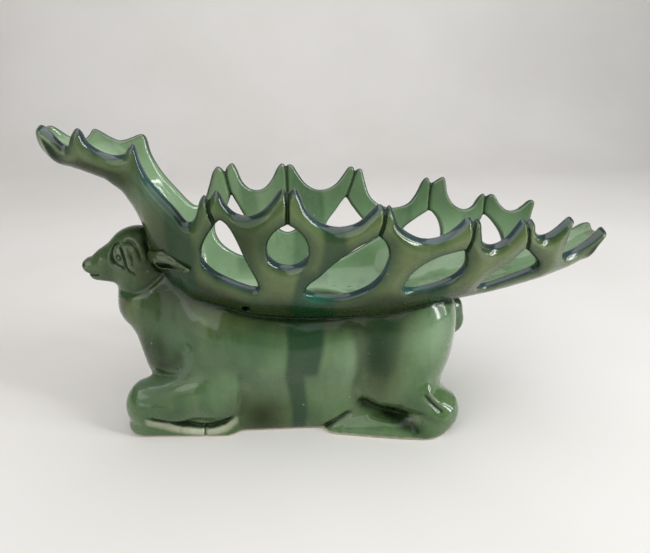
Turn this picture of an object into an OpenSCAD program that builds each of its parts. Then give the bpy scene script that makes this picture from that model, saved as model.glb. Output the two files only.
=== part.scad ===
// Ceramic stag TV lamp: a hollow resting stag whose antlers form a pierced
// basket, with a small candelabra lamp hidden in the body under the basket.
// +X from head to tail, -Y the display side, +Z up, base at z = 0. Millimetres.

/* [Ceramic] */
// Wall of the hollow body casting
wall = 5.5; // [4:0.5:7]
// Thickness of the antler basket
antler_t = 8; // [7:0.5:9]
// Squareness of the basket's cross-section
basket_n = 2.4; // [2:0.1:3]
// Length of the oval light opening in the basket floor
light_len = 66; // [56:1:70]
// Width of the oval light opening
light_wid = 40; // [34:1:44]
// Middle of the light opening along the body
light_x = -15; // [-17:1:-13]

/* [Lamp fittings] */
// Width of the strap bracket
strap_w = 16; // [12:1:20]
// Thickness of the strap bracket
strap_t = 1.6; // [1:0.1:2]
// Height of the strap's bottom above the base
strap_z = 10; // [8:0.5:12]
// Outer radius of the socket shell
shell_r = 11.5; // [11:0.1:12.5]
// Radius of the bulb glass
bulb_r = 11.2; // [9:0.1:11.5]
// Radius of the bulb's screw base
base_r = 5.9; // [5.7:0.05:5.95]
// Radius of the cord hole through the grommet
cord_r = 3.2; // [2.6:0.1:3.6]

/* [Details] */
// Eye radius
eye_r = 3.4; // [2.8:0.1:4]
// Radius of the vent hole behind the shoulder
vent_r = 2.6; // [1.5:0.1:3.5]
// Facets on the rounded ceramic forms
form_fn = 20; // [16:2:24]

/* [Hidden] */

glaze = [0.24, 0.45, 0.28];
antler_glaze = [0.42, 0.53, 0.30];
brass = [0.78, 0.62, 0.30];
steel = [0.66, 0.67, 0.66];

eps = 0.01;
ht = antler_t / 2;

// ---- basket surface: half width, reference height and keel along X ----
half_w = [[-206,6],[-200,8],[-188,15],[-174,20],[-160,20],[-150,19],[-143,19],[-137,20],
          [-130,24],[-120,30],[-106,38],[-90,45],[-65,52],[-38,55],[0,60],[25,61],[60,60],
          [90,54],[110,48],[128,42],[150,36],[170,29],[188,20],[200,12],[206,8]];
ref_z = [[-206,229],[-200,228],[-174,226],[-160,222],[-150,219],[-137,214],[-120,200],
         [-106,190],[0,190],[25,186],[60,182],[90,177],[128,170],[150,168],[170,164],
         [188,158],[206,150]];
keel_z = [[-206,223],[-200,218],[-188,210],[-174,205],[-160,199],[-150,191],[-143,181],
          [-137,168],[-130,145],[-120,118],[-106,100],[-90,93],[-66,88],[36,88],
          [48,93],[60,98],[75,102],[90,105],[110,108],[128,112],[150,118],
          [170,126],[188,135],[206,148]];
stations = [-206,-200,-194,-188,-181,-174,-167,-160,-155,-150,-146,-143,-140,-137,-134,-130,
            -125,-120,-113,-106,-98,-90,-78,-65,-52,-38,-20,0,25,42,60,75,90,100,110,119,128,
            139,150,160,170,179,188,194,200,206];
sky = 262;
steps = 16;
function slope(x) = (lookup(x + 3, keel_z) - lookup(x - 3, keel_z)) / 6;
function lift(x, d) = d * sqrt(1 + pow(min(abs(slope(x)), 2.6), 2));
function sgn_pow(v, p) = sign(v) * pow(abs(v), p);
// Half width of the basket at x and height z
function wall_y(x, z) = let (c = lookup(x, ref_z), k = lookup(x, keel_z), t = max(0, min(1, (c - z) / (c - k))))
    lookup(x, half_w) * pow(1 - pow(t, basket_n), 1 / basket_n);
// Cross-section of the basket at x, grown outwards by d
function ring(x, d) = let (a = lookup(x, half_w) + d, c = lookup(x, ref_z), k = lookup(x, keel_z) - lift(x, d))
    concat([[x, a, sky]], [for (i = [0:steps]) let (q = i * 180 / steps)
        [x, a * sgn_pow(cos(q), 2 / basket_n), c - (c - k) * sgn_pow(sin(q), 2 / basket_n)]], [[x, -a, sky]]);
// The basket's filled volume, open to the sky
module basket_fill(d) {
    n = steps + 3;
    m = len(stations);
    polyhedron([for (x = stations) each ring(x, d)],
        concat([[for (j = [0:n - 1]) n - 1 - j]], [[for (j = [0:n - 1]) (m - 1) * n + j]],
            [for (i = [0:m - 2]) for (j = [0:n - 1]) let (k = (j + 1) % n) each
                [[i * n + j, i * n + k, (i + 1) * n + k], [i * n + j, (i + 1) * n + k, (i + 1) * n + j]]]));
}

// ---- side outline of one antler wall (x, z) ----
rim_near = [[-201,226],[-200,229],[-197,229],[-191,224],[-184,218],[-178,222],[-174,228],[-171,228],
       [-168,221],[-161,214],[-152,211],[-144,213],[-141,218],[-138,218],[-136,208],[-131,197],
       [-122,187],[-113,179],[-104,171],[-97,178],[-93,189],[-90,189],[-88,185],[-86,192],[-83,193],
       [-81,187],[-74,180],[-64,178],[-54,184],[-45,191],[-42,195],[-40,194],[-38,190],[-35,194],
       [-33,195],[-29,186],[-19,176],[-4,172],[7,176],[14,182],[17,186],[19,186],[22,180],[24,185],
       [26,185],[30,177],[39,169],[51,163],[62,165],[72,170],[77,175],[79,175],[82,168],[84,174],
       [87,173],[89,164],[97,155],[107,156],[115,163],[120,170],[122,170],[124,165],[127,169],
       [129,168],[132,161],[140,157],[151,161],[160,167],[163,166],[162,157],[161,145],[163,138],
       [168,137],[178,140],[188,147],[198,153],[201,151],[201,146]];
rim_far = [[-201,224],[-200,227],[-197,227],[-190,220],[-182,217],[-176,220],[-173,224],[-171,223],
       [-164,219],[-158,216],[-150,218],[-143,220],[-139,219],[-137,205],[-131,192],[-122,178],
       [-109,163],[-101,172],[-96,188],[-92,192],[-90,191],[-87,187],[-83,193],[-80,194],[-77,186],
       [-72,177],[-66,172],[-59,172],[-53,176],[-47,186],[-43,192],[-40,191],[-38,188],[-36,191],
       [-33,190],[-28,183],[-22,175],[-14,170],[-6,170],[3,174],[10,183],[14,188],[17,187],[20,183],
       [22,186],[25,184],[28,174],[32,164],[39,157],[48,154],[58,154],[66,157],[72,166],[77,178],
       [80,179],[83,172],[88,177],[92,180],[94,178],[97,165],[103,157],[110,154],[117,157],[121,165],
       [124,168],[127,166],[130,168],[133,167],[138,160],[144,155],[151,156],[156,161],[160,165],
       [163,163],[162,154],[161,145],[164,138],[170,137],[180,139],[190,144],[197,150],[201,150],[201,146]];
near_leaves = [
    [[-81,175],[-85,173],[-92,163],[-97,153],[-96,143],[-88,136],[-77,130],[-62,125],[-60,131],[-66,146],[-71,160],[-76,170]],
    [[-39,173],[-33,169],[-28,164],[-25,157],[-27,150],[-32,145],[-39,143],[-46,145],[-51,150],[-53,158],[-50,165],[-45,169]],
    [[18,166],[24,162],[27,152],[24,139],[15,128],[3,121],[-10,119],[-21,121],[-27,125],[-19,136],[-8,148],[4,157]],
    [[40,129],[44,138],[51,146],[61,151],[71,153],[78,153],[80,149],[80,141],[74,133],[64,128],[54,125],[45,125]],
    [[97,121],[101,128],[107,135],[116,142],[123,147.5],[129,148.5],[137,142],[142,136],[141,130],[132,126],[120,122],[107,119]]];
far_leaves = [
    [[-83,169],[-87,162],[-93,154],[-97.5,146],[-95,136],[-88,128],[-75,121],[-65,121],[-62,128],[-68,141],[-75,154],[-79,163]],
    [[-37.5,158],[-31,154],[-27,147],[-30,139],[-37.5,136],[-46,140],[-49,147],[-45,154]],
    [[11,162],[3,153],[-6,142],[-8,129],[-4,119],[4,115],[16,119],[30,126.5],[38,132],[34,139],[24.5,147.5],[17,156]],
    [[82,151],[70,145],[61,138],[57,129],[63,123],[77,122],[88,127],[92,133],[91,142],[87,148]],
    [[126,150],[121,142],[121,132],[127,127],[135,127],[140,130],[139,136],[135,143],[130,148]]];
// Tines and branches as [x, z, radius, x, z, radius], thickest at each fork
tines = [[-196,219,3.6,-199,226,3],[-171,212,4,-172,225,3],[-141,205,4,-140,215,3],
         [-104,160,4.6,-92,186,3.2],[-67,167,5,-83,190,3.2],[-67,167,5,-43,191,3.2],
         [-8,162,5,-33,191,3.2],[-8,162,5,16,183,3.2],[50,154,5,24,182,3.2],[50,154,5,77,172,3.2],
         [98,147,4.6,86,170,3.2],[98,147,4.6,121,167,3.2],[144,149,4.2,128,166,3],[144,149,4.2,160,164,3],
         [182,140,3.4,197,150,2.8]];

module soft(r) { offset(r = r, $fn = 16) offset(delta = -r) children(); }
module antler_outline(rim, leaves) {
    difference() {
        polygon(concat(rim, [[205, 60], [-205, 60]]));
        for (leaf = leaves) soft(3) polygon(leaf);
    }
}
module basket_shell() {
    difference() {
        basket_fill(ht);
        basket_fill(-ht);
    }
}
// Zone of the basket's floor between the two walls
module floor_zone() {
    translate([-12, 0, 50]) linear_extrude(70) scale([1, 0.24]) circle(95, $fn = 48);
}
// Antler wall on the -Y side
module antler(rim, leaves) {
    color(antler_glaze) render() difference() {
        union() {
            intersection() {
                basket_shell();
                rotate([90, 0, 0]) linear_extrude(100) antler_outline(rim, leaves);
            }
            for (t = tines) hull() {
                translate([t[0], -wall_y(t[0], t[1]), t[1]]) sphere(t[2], $fn = 10);
                translate([t[3], -wall_y(t[3], t[4]), t[4]]) sphere(t[5], $fn = 10);
            }
        }
        floor_zone();
        translate([-300, 0, 0]) cube([600, 100, 300]);
    }
}
module near_antler() { antler(rim_near, near_leaves); }
module far_antler() { mirror([0, 1, 0]) antler(rim_far, far_leaves); }
floor_top = 91.2;
floor_bot = 85.6;
module bowl_floor() {
    color(antler_glaze) render() difference() {
        intersection() { basket_shell(); floor_zone(); }
        translate([light_x, 0, 80]) scale([light_len / 2, light_wid / 2, 1]) cylinder(r = 1, h = 40, $fn = 56);
        for (s = [-1, 1]) translate([light_x + s * 44, 0, 0]) {
            cylinder(r = 2.4, h = 130, $fn = 32);
            translate([0, 0, floor_top]) cylinder(r = 6.5, h = 12, $fn = 40);
            translate([-10.5, -strap_w / 2 - 0.5, 70]) cube([21, strap_w + 1, floor_bot - 70]);
        }
    }
}

// ---- body forms ----
module ell(c, r) { translate(c) scale(r) sphere(1, $fn = form_fn); }
module bead(c, r) { translate(c) scale(r) sphere(1, $fn = 12); }
module puck(x, y, rx, ry, h) { translate([x, y, -2]) scale([rx, ry, 1]) cylinder(r = 1, h = h + 2, $fn = form_fn); }
// Trunk, chest and neck; g shrinks it for the hollow
module trunk(g) {
    hull() {
        ell([-110, 0, 64], [42 - g, 44 - g, 40 - g]);
        puck(-108, 0, 39 - g, 37 - g, 8);
        ell([56, 0, 64], [40 - g, 47 - g, 42 - g]);
        puck(50, 0, 35 - g, 40 - g, 8);
        ell([62, 0, 84], [35 - g, 38 - g, 24 - g]);
    }
    hull() {
        ell([-140, 0, 98], [27 - g, 24 - g, 24 - g]);
        ell([-120, 0, 70], [39 - g, 40 - g, 36 - g]);
        ell([-112, 0, 98], [32 - g, 39 - g, 34 - g]);
    }
    hull() {
        ell([-140, 0, 100], [27 - g, 24 - g, 22 - g]);
        ell([-148, 0, 134], [19 - g, 17 - g, 20 - g]);
        ell([-132, 0, 128], [16 - g, 20 - g, 20 - g]);
    }
}
module limbs(g) {
    for (s = [-1, 1]) {
        hull() {                                                  // haunch
            ell([48, s * 22, 62], [38 - g, 32 - g, 44 - g]);
            ell([50, s * 26, 36], [28 - g, 28 - g, 26 - g]);
        }
        hull() {                                                  // folded hind shank and hoof
            ell([72, s * 39, 18], [19 - g, 18 - g, 20 - g]);
            ell([50, s * 45, 11], [14 - g, 13 - g, 13 - g]);
            ell([4, s * 43, 6], [12 - g, 9 - g, 8 - g]);
            puck(73, s * 41, 15, 14, 3);
            puck(48, s * 45, 14, 12, 3);
            puck(4, s * 43, 12, 8.5, 3);
        }
        ell([-112, s * 20, 74], [30 - g, 29 - g, 32 - g]);        // shoulder
        hull() {                                                  // withers
            ell([-84, s * 20, 80], [26 - g, 26 - g, 30 - g]);
            ell([-32, s * 19, 69], [26 - g, 26 - g, 26 - g]);
        }
        hull() {                                                  // flank rising to the rump
            ell([-32, s * 19, 69], [26 - g, 26 - g, 26 - g]);
            ell([56, s * 20, 90], [28 - g, 28 - g, 28 - g]);
        }
        hull() {                                                  // forearm to knee
            ell([-114, s * 31, 54], [16 - g, 14 - g, 16 - g]);
            ell([-147, s * 24, 23], [19 - g, 13 - g, 20 - g]);
        }
        hull() {                                                  // cannon and hoof along the base
            ell([-153, s * 22, 12], [13 - g, 11 - g, 13 - g]);
            ell([-90, s * 33, 8], [12 - g, 9.5 - g, 9 - g]);
            puck(-153, s * 22, 12, 10, 3);
            puck(-91, s * 33, 12, 9, 3);
        }
    }
}
module head_form(g) {
    ell([-148, 0, 137], [21 - g, 18 - g, 21 - g]);
    hull() {
        ell([-157, 0, 137], [14 - g, 15 - g, 15 - g]);
        ell([-181, 0, 127], [10.5 - g, 8.5 - g, 8.5 - g]);
    }
    hull() {                                                      // jaw and throat
        ell([-176, 0, 124], [9, 7, 6]);
        ell([-150, 0, 124], [18, 16, 14]);
    }
    for (s = [-1, 1]) {
        hull() {                                                  // brow ridge
            bead([-163, s * 12.5, 149], [4, 3, 2.4]);
            bead([-151, s * 17, 147], [4, 3, 2.4]);
        }
        hull() {                                                  // lower lid
            bead([-163, s * 14.5, 140.5], [3, 2, 1.6]);
            bead([-154, s * 17.5, 138], [3, 2, 1.6]);
        }
        bead([-159.5, s * 15.4, 144.5], [eye_r * 1.5, 2.8, eye_r]);    // eye
    }
}
// Everything above the neck joint
module neck_joint() {
    translate([-150, 0, 112]) rotate([0, -14, 0]) translate([-100, -60, 0]) cube([200, 120, 90]);
}
module solid_form() { trunk(0); limbs(0); head_form(0); }
module hollow_form() {
    intersection() {
        union() { trunk(wall); hull() { ell([-150,0,134],[14,12,13]); ell([-138,0,104],[20,17,15]); } }
        translate([-200, -100, -5]) cube([400, 200, 170]);
    }
    for (s = [-1, 1]) hull() {
        ell([46, s * 20, 60], [34, 26, 36]);
        puck(46, s * 26, 30, 16, 4);
    }
}
module deer_body() {
    color(glaze) render() difference() {
        union() {
            difference() {
                union() { trunk(0); limbs(0); tail_form(); }
                hollow_form();
            }
            translate([cord_x, cord_in, cord_z]) rotate([-90, 0, 0]) cylinder(r = 9.5, h = cord_out - cord_in, $fn = 40);
        }
        translate([-300, -100, -100]) cube([600, 200, 100]);
        neck_joint();
        basket_fill(ht);
        translate([-73, 0, 99]) rotate([90, 0, 0]) cylinder(r = vent_r, h = 80, $fn = 20);
        translate([cord_x, 20, cord_z]) rotate([-90, 0, 0]) cylinder(r = cord_r + 2.6, h = 60, $fn = 32);
        for (s = [0, 1]) mirror([0, s, 0]) {
            hull() {                                              // split between the front cloven toes
                translate([-106, -50, -1]) rotate([0, 30, 0]) cylinder(r = 0.8, h = 14, $fn = 10);
                translate([-104, -44, -1]) rotate([0, 30, 0]) cylinder(r = 0.8, h = 12, $fn = 10);
            }
            hull() {                                              // hock slit
                translate([66, -66, 26]) sphere(1.2, $fn = 12);
                translate([80, -66, 16]) sphere(1.2, $fn = 12);
                translate([66, -54, 24]) sphere(1.2, $fn = 12);
                translate([80, -54, 15]) sphere(1.2, $fn = 12);
            }
        }
    }
}
module deer_head() {
    color(glaze) render() difference() {
        intersection() { union() { trunk(0); head_form(0); } neck_joint(); }
        hollow_form();
        basket_fill(ht);
        ear_pair();
        for (s = [-1, 1]) {
            translate([-189, s * 5, 130]) sphere(1.6, $fn = 14);  // nostrils
            hull() {                                              // mouth line
                translate([-190, s * 6.5, 123]) sphere(0.9, $fn = 10);
                translate([-174, s * 12.5, 125]) sphere(0.9, $fn = 10);
            }
        }
    }
}
module ear_form(s) {
    hull() {
        bead([-134, s * 21, 142], [5, 4, 5.5]);
        bead([-121, s * 32, 142.5], [8, 3.6, 6.8]);
        bead([-106, s * 43, 139.5], [2.6, 2.2, 2.4]);
    }
}
module ear_pair() { for (s = [-1, 1]) ear_form(s); }
module ears() {
    color(glaze) render() difference() {
        for (s = [-1, 1]) ear_form(s);
        basket_fill(ht);
        for (s = [-1, 1]) hull() {                                // inner fold of the ear
            bead([-130, s * 28.5, 142], [3, 3, 2]);
            bead([-120, s * 37, 142.5], [5, 3.4, 2.8]);
            bead([-110, s * 44, 140], [1.4, 1.4, 1]);
        }
        for (s = [-1, 1]) for (k = [-1, 1]) hull() {              // hair lines over and under the fold
            bead([-129, s * 29.4, 142.2 + k * 3.4], [0.8, 0.8, 0.8]);
            bead([-113, s * 42.6, 141 + k * 2], [0.7, 0.7, 0.7]);
        }
    }
}
module tail_form() { hull() { ell([94, 0, 86], [7, 7, 7]); ell([95, 0, 72], [8, 8.5, 14]); } }

// ---- strap bracket and its fasteners ----
module strap_bracket() {
    color(steel) difference() {
        union() {
            translate([light_x - 36, -strap_w / 2, strap_z]) cube([72, strap_w, strap_t]);
            for (s = [-1, 1]) {
                translate([light_x + s * (36 - strap_t / 2) - strap_t / 2, -strap_w / 2, strap_z]) cube([strap_t, strap_w, floor_bot - strap_z]);
                translate([light_x + s * 43.6 - 8.4, -strap_w / 2, floor_bot - strap_t]) cube([16.8, strap_w, strap_t]);
            }
        }
        translate([light_x, 0, strap_z - 1]) cylinder(r = 5.1, h = 4, $fn = 48);
        for (s = [-1, 1]) translate([light_x + s * 44, 0, floor_bot - 4]) cylinder(r = 2.2, h = 6, $fn = 32);
    }
}
module bracket_screws() {
    color(brass) for (s = [-1, 1]) translate([light_x + s * 44, 0, 0]) {
        difference() {
            translate([0, 0, floor_top + 1]) intersection() {
                translate([0, 0, -4.6]) sphere(7.1, $fn = 48);
                cylinder(r = 4.4, h = 4);
            }
            translate([-5, -0.5, floor_top + 2.3]) cube([10, 1, 3]);
        }
        translate([0, 0, floor_bot - 7]) cylinder(r = 1.95, h = floor_top + 8 - floor_bot, $fn = 32);
    }
}
module fibre_washers() {
    color([0.45, 0.16, 0.1]) for (s = [-1, 1]) translate([light_x + s * 44, 0, floor_top]) difference() {
        cylinder(r = 5.6, h = 1, $fn = 48);
        translate([0, 0, -1]) cylinder(r = 2.1, h = 3, $fn = 32);
    }
}
module hex_nut(af, h, hole) {
    difference() {
        cylinder(r = af / sqrt(3), h = h, $fn = 6);
        translate([0, 0, -1]) cylinder(r = hole, h = h + 2, $fn = 48);
    }
}
module bracket_nuts() { color(steel) for (s = [-1, 1]) translate([light_x + s * 44, 0, floor_bot - strap_t - 3.2]) hex_nut(7, 3.2, 1.99); }
module threaded_nipple() {
    color(brass) translate([light_x, 0, 4.5]) difference() {
        cylinder(r = 4.9, h = 15, $fn = 48);
        translate([0, 0, -1]) cylinder(r = 3.3, h = 17, $fn = 48);
    }
}
module lock_nuts() {
    color(brass) {
        translate([light_x, 0, strap_z - 3.5]) hex_nut(14, 3.5, 4.94);
        translate([light_x, 0, strap_z + strap_t]) hex_nut(14, 3, 4.94);
    }
}

// ---- keyed candelabra socket ----
cap_z = strap_z + strap_t + 3;      // underside of the socket's cap
seat_z = cap_z + 12;                // where the shell enters the cap
rim_z = 56;                         // top of the socket shell
key_z = 34;                         // height of the turn key's shaft
module socket_cap() {
    color(brass) translate([light_x, 0, cap_z]) difference() {
        rotate_extrude($fn = 64) polygon([[0,0],[6.2,0],[6.2,4.2],[9.6,7.5],[12.1,11],[12.1,15],[0,15]]);
        translate([0, 0, -1]) cylinder(r = 4.94, h = 5, $fn = 48);
        rotate_extrude($fn = 64) polygon([[0,3.9],[4.94,3.9],[8.6,8.2],[11.55,12],[11.55,16],[0,16]]);
    }
}
module socket_shell() {
    color(brass) translate([light_x, 0, 0]) difference() {
        union() {
            translate([0, 0, seat_z + 0.1]) cylinder(r = shell_r, h = rim_z - seat_z - 0.1, $fn = 64);
            translate([0, 0, rim_z - 1.6]) rotate_extrude($fn = 64) translate([shell_r, 0]) circle(0.8, $fn = 24);
        }
        translate([0, 0, seat_z - 1]) cylinder(r = shell_r - 0.5, h = 40, $fn = 64);
        translate([0, 5, key_z]) rotate([-90, 0, 0]) cylinder(r = 2.4, h = 12, $fn = 32);
    }
}
module insulating_liner() {
    color([0.24, 0.18, 0.12]) translate([light_x, 0, 0]) difference() {
        translate([0, 0, seat_z + 0.4]) cylinder(r = shell_r - 0.55, h = rim_z - seat_z - 0.8, $fn = 64);
        translate([0, 0, seat_z - 1]) cylinder(r = shell_r - 1.25, h = 40, $fn = 64);
        translate([0, 5, key_z]) rotate([-90, 0, 0]) cylinder(r = 2.4, h = 12, $fn = 32);
    }
}
module socket_interior() {
    color([0.16, 0.12, 0.1]) translate([light_x, 0, 0]) difference() {
        translate([0, 0, seat_z + 1]) cylinder(r = shell_r - 1.3, h = 14, $fn = 64);
        translate([0, 0, key_z]) rotate([-90, 0, 0]) cylinder(r = 2.1, h = 20, $fn = 32);
        for (s = [-1, 1]) {
            translate([s * 7.2, 0, seat_z]) cylinder(r = 1.55, h = 6, $fn = 24);
        }
    }
}
module screw_shell() {
    color(brass) translate([light_x, 0, 0]) difference() {
        translate([0, 0, seat_z + 15]) cylinder(r = base_r + 0.45, h = 13, $fn = 64);
        translate([0, 0, seat_z + 15.6]) cylinder(r = base_r + 0.06, h = 14, $fn = 64);
        translate([0, 0, seat_z + 14]) cylinder(r = 3.2, h = 4, $fn = 32);
    }
}
module centre_contact() {
    color([0.8, 0.5, 0.3]) translate([light_x, 0, seat_z + 15]) {
        cylinder(r = 2.6, h = 0.8, $fn = 32);
        translate([0, 0, 0.8]) cylinder(r1 = 1.8, r2 = 1, h = 1, $fn = 32);
    }
}
module terminal_screws() {
    color(brass) for (s = [-1, 1]) translate([light_x + s * 7.2, 0, seat_z - 1.2]) {
        cylinder(r = 2.3, h = 1.2 + 0.98, $fn = 32);
        cylinder(r = 1.5, h = 7, $fn = 24);
    }
}
module turn_key() {
    color(brass) translate([light_x, 0, key_z]) rotate([-90, 0, 0]) {
        translate([0, 0, 2]) cylinder(r = 2.05, h = 16, $fn = 32);
        difference() {
            translate([0, 0, 17]) cylinder(r = 5, h = 8, $fn = 48);
            for (i = [0:15]) rotate(i * 22.5) translate([5.3, 0, 16]) cylinder(r = 0.6, h = 10, $fn = 16);
        }
    }
}

// ---- bulb ----
tip_z = seat_z + 16.9;              // where the bulb's contact meets the socket's
module bulb_base() {
    color(brass) translate([light_x, 0, tip_z]) {
        cylinder(r1 = 1.6, r2 = 3.6, h = 1.6, $fn = 32);
        translate([0, 0, 1.6]) cylinder(r = base_r, h = 11.4, $fn = 64);
    }
}
module bulb_glass() {
    color([0.95, 0.95, 0.9, 0.4]) translate([light_x, 0, tip_z + 13]) difference() {
        rotate_extrude($fn = 64) polygon([[0,0],[5.8,0],[6.6,3],[8.6,7],[10.4,12],[bulb_r,17],[bulb_r,21],
            [10.3,26],[8,31],[5,34.6],[2.4,36.2],[0,36.6]]);
        rotate_extrude($fn = 64) polygon([[0,1],[5,1],[5.8,3.3],[7.8,7.4],[9.6,12.3],[bulb_r - 0.8,17.2],[bulb_r - 0.8,20.8],
            [9.6,25.6],[7.4,30.3],[4.6,33.8],[2.2,35.3],[0,35.7]]);
    }
}
module bulb_filament() {
    color([0.6, 0.6, 0.58]) translate([light_x, 0, tip_z + 14]) {
        cylinder(r1 = 3, r2 = 1.8, h = 8, $fn = 24);
        for (s = [-1, 1]) translate([s * 1.2, 0, 7]) rotate([0, s * 16, 0]) cylinder(r = 0.35, h = 12, $fn = 16);
        translate([-4.6, 0, 18.4]) rotate([0, 90, 0]) cylinder(r = 0.5, h = 9.2, $fn = 16);
    }
}

// ---- cord outlet in the back wall ----
cord_x = -45;
cord_z = 16;
cord_in = 33.6;                     // inner and outer faces of the boss round the outlet
cord_out = 41.2;
module cord_grommet() {
    color([0.08, 0.08, 0.08]) translate([cord_x, cord_in, cord_z]) rotate([-90, 0, 0]) difference() {
        union() {
            translate([0, 0, -1]) cylinder(r = cord_r + 2.5, h = cord_out - cord_in + 2, $fn = 48);
            translate([0, 0, cord_out - cord_in]) cylinder(r = cord_r + 4.6, h = 2.4, $fn = 48);
            translate([0, 0, -2.4]) cylinder(r = cord_r + 4.6, h = 2.4, $fn = 48);
        }
        translate([0, 0, -10]) cylinder(r = cord_r, h = 30, $fn = 48);
    }
}

deer_body();
deer_head();
ears();
near_antler();
far_antler();
bowl_floor();
strap_bracket();
bracket_screws();
fibre_washers();
bracket_nuts();
threaded_nipple();
lock_nuts();
socket_cap();
socket_shell();
insulating_liner();
socket_interior();
screw_shell();
centre_contact();
terminal_screws();
turn_key();
bulb_glass();
bulb_base();
bulb_filament();
cord_grommet();
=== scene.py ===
"""Glazed ceramic stag TV lamp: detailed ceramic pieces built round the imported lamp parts."""

import math  # noqa: E402

import bpy  # noqa: E402
import numpy as np  # noqa: E402
from mathutils import Matrix, Vector  # noqa: E402


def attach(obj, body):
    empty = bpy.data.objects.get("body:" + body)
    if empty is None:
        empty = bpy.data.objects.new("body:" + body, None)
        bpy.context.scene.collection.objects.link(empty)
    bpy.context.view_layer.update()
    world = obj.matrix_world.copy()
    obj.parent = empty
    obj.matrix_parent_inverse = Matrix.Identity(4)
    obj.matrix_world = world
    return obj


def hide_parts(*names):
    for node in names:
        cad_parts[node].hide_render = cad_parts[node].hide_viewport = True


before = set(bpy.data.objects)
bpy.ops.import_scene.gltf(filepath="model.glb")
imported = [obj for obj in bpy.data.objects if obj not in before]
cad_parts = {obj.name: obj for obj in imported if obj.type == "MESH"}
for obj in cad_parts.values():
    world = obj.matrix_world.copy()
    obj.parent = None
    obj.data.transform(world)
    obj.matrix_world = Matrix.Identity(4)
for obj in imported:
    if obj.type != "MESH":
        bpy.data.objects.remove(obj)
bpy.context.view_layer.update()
MM = 0.001
FINE = 1.0  # grid scale for the ceramic surfaces
F = np.float32


# ---------------------------------------------------------------- distance fields, in mm
def smin(a, b, k):
    h = np.maximum(k - np.abs(a - b), 0) / k
    return np.minimum(a, b) - h * h * (k * 0.25)


def smax(a, b, k):
    return -smin(-a, -b, k)


def seg(x, y, z, a, ra, b, rb):
    """Ellipsoid swept from a to b with its radii changing from ra to rb."""
    d = [b[i] - a[i] for i in range(3)]
    l2 = max(1e-6, sum(v * v for v in d))
    t = np.clip(((x - a[0]) * d[0] + (y - a[1]) * d[1] + (z - a[2]) * d[2]) / l2, 0, 1)
    rx, ry, rz = (ra[i] + t * (rb[i] - ra[i]) for i in range(3))
    qx, qy, qz = (
        (x - a[0] - t * d[0]) / rx,
        (y - a[1] - t * d[1]) / ry,
        (z - a[2] - t * d[2]) / rz,
    )
    k0 = np.sqrt(qx * qx + qy * qy + qz * qz)
    k1 = np.sqrt((qx / rx) ** 2 + (qy / ry) ** 2 + (qz / rz) ** 2)
    return k0 * (k0 - 1) / (k1 + 1e-5)


def ell(x, y, z, c, r):
    qx, qy, qz = (x - c[0]) / r[0], (y - c[1]) / r[1], (z - c[2]) / r[2]
    k0 = np.sqrt(qx * qx + qy * qy + qz * qz)
    k1 = np.sqrt((qx / r[0]) ** 2 + (qy / r[1]) ** 2 + (qz / r[2]) ** 2)
    return k0 * (k0 - 1) / (k1 + 1e-5)


def turned(x, z, cx, cz, deg):
    """x and z about (cx, cz), turned by deg in the side view."""
    c, s = math.cos(math.radians(deg)), math.sin(math.radians(deg))
    return (x - cx) * c + (z - cz) * s, -(x - cx) * s + (z - cz) * c


def cap(x, y, z, a, ra, b, rb):
    d = [b[i] - a[i] for i in range(3)]
    l2 = max(1e-6, sum(v * v for v in d))
    t = np.clip(((x - a[0]) * d[0] + (y - a[1]) * d[1] + (z - a[2]) * d[2]) / l2, 0, 1)
    return np.sqrt(
        (x - a[0] - t * d[0]) ** 2
        + (y - a[1] - t * d[1]) ** 2
        + (z - a[2] - t * d[2]) ** 2
    ) - (ra + t * (rb - ra))


def line2(x, z, pts, n=3):
    """Distance in the side view to a smooth line through pts, and the share along it."""
    p = catmull(np.array(pts, float), n) if len(pts) > 2 else np.array(pts, float)
    best = np.full(x.shape, 1e9, F)
    along = np.zeros(x.shape, F)
    m = len(p) - 1
    for i in range(m):
        a, b = p[i], p[i + 1]
        d = b - a
        t = np.clip(
            ((x - a[0]) * d[0] + (z - a[1]) * d[1]) / max(1e-9, d @ d), 0, 1
        )
        q = np.sqrt((x - a[0] - t * d[0]) ** 2 + (z - a[1] - t * d[1]) ** 2)
        near = q < best
        best = np.where(near, q, best)
        along = np.where(near, (i + t) / m, along)
    return best, along


def catmull(p, n):
    """Points of a smooth open curve through p, n to each span."""
    q = np.vstack([2 * p[0] - p[1], p, 2 * p[-1] - p[-2]])
    out = []
    for i in range(len(p) - 1):
        a, b, c, d = q[i : i + 4]
        for j in range(n):
            t = j / n
            out.append(
                0.5
                * (
                    2 * b
                    + (c - a) * t
                    + (2 * a - 5 * b + 4 * c - d) * t * t
                    + (3 * b - a - 3 * c + d) * t**3
                )
            )
    out.append(p[-1])
    return np.array(out)


def groove(x, z, pts, width, depth, taper=True):
    """How far a line pressed into the clay pushes the surface in."""
    p = np.array(pts, float)
    x0, z0 = p.min(0) - 3 * width - 1
    x1, z1 = p.max(0) + 3 * width + 1
    near = (x > x0) & (x < x1) & (z > z0) & (z < z1)
    out = np.zeros(x.shape, F)
    if near.any():
        d, t = line2(x[near], z[near], pts)
        g = depth * np.exp(-((d / width) ** 2))
        if taper:
            g = g * np.clip(4.5 * np.minimum(t, 1 - t) + 0.25, 0, 1)
        out[near] = g
    return out


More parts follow.
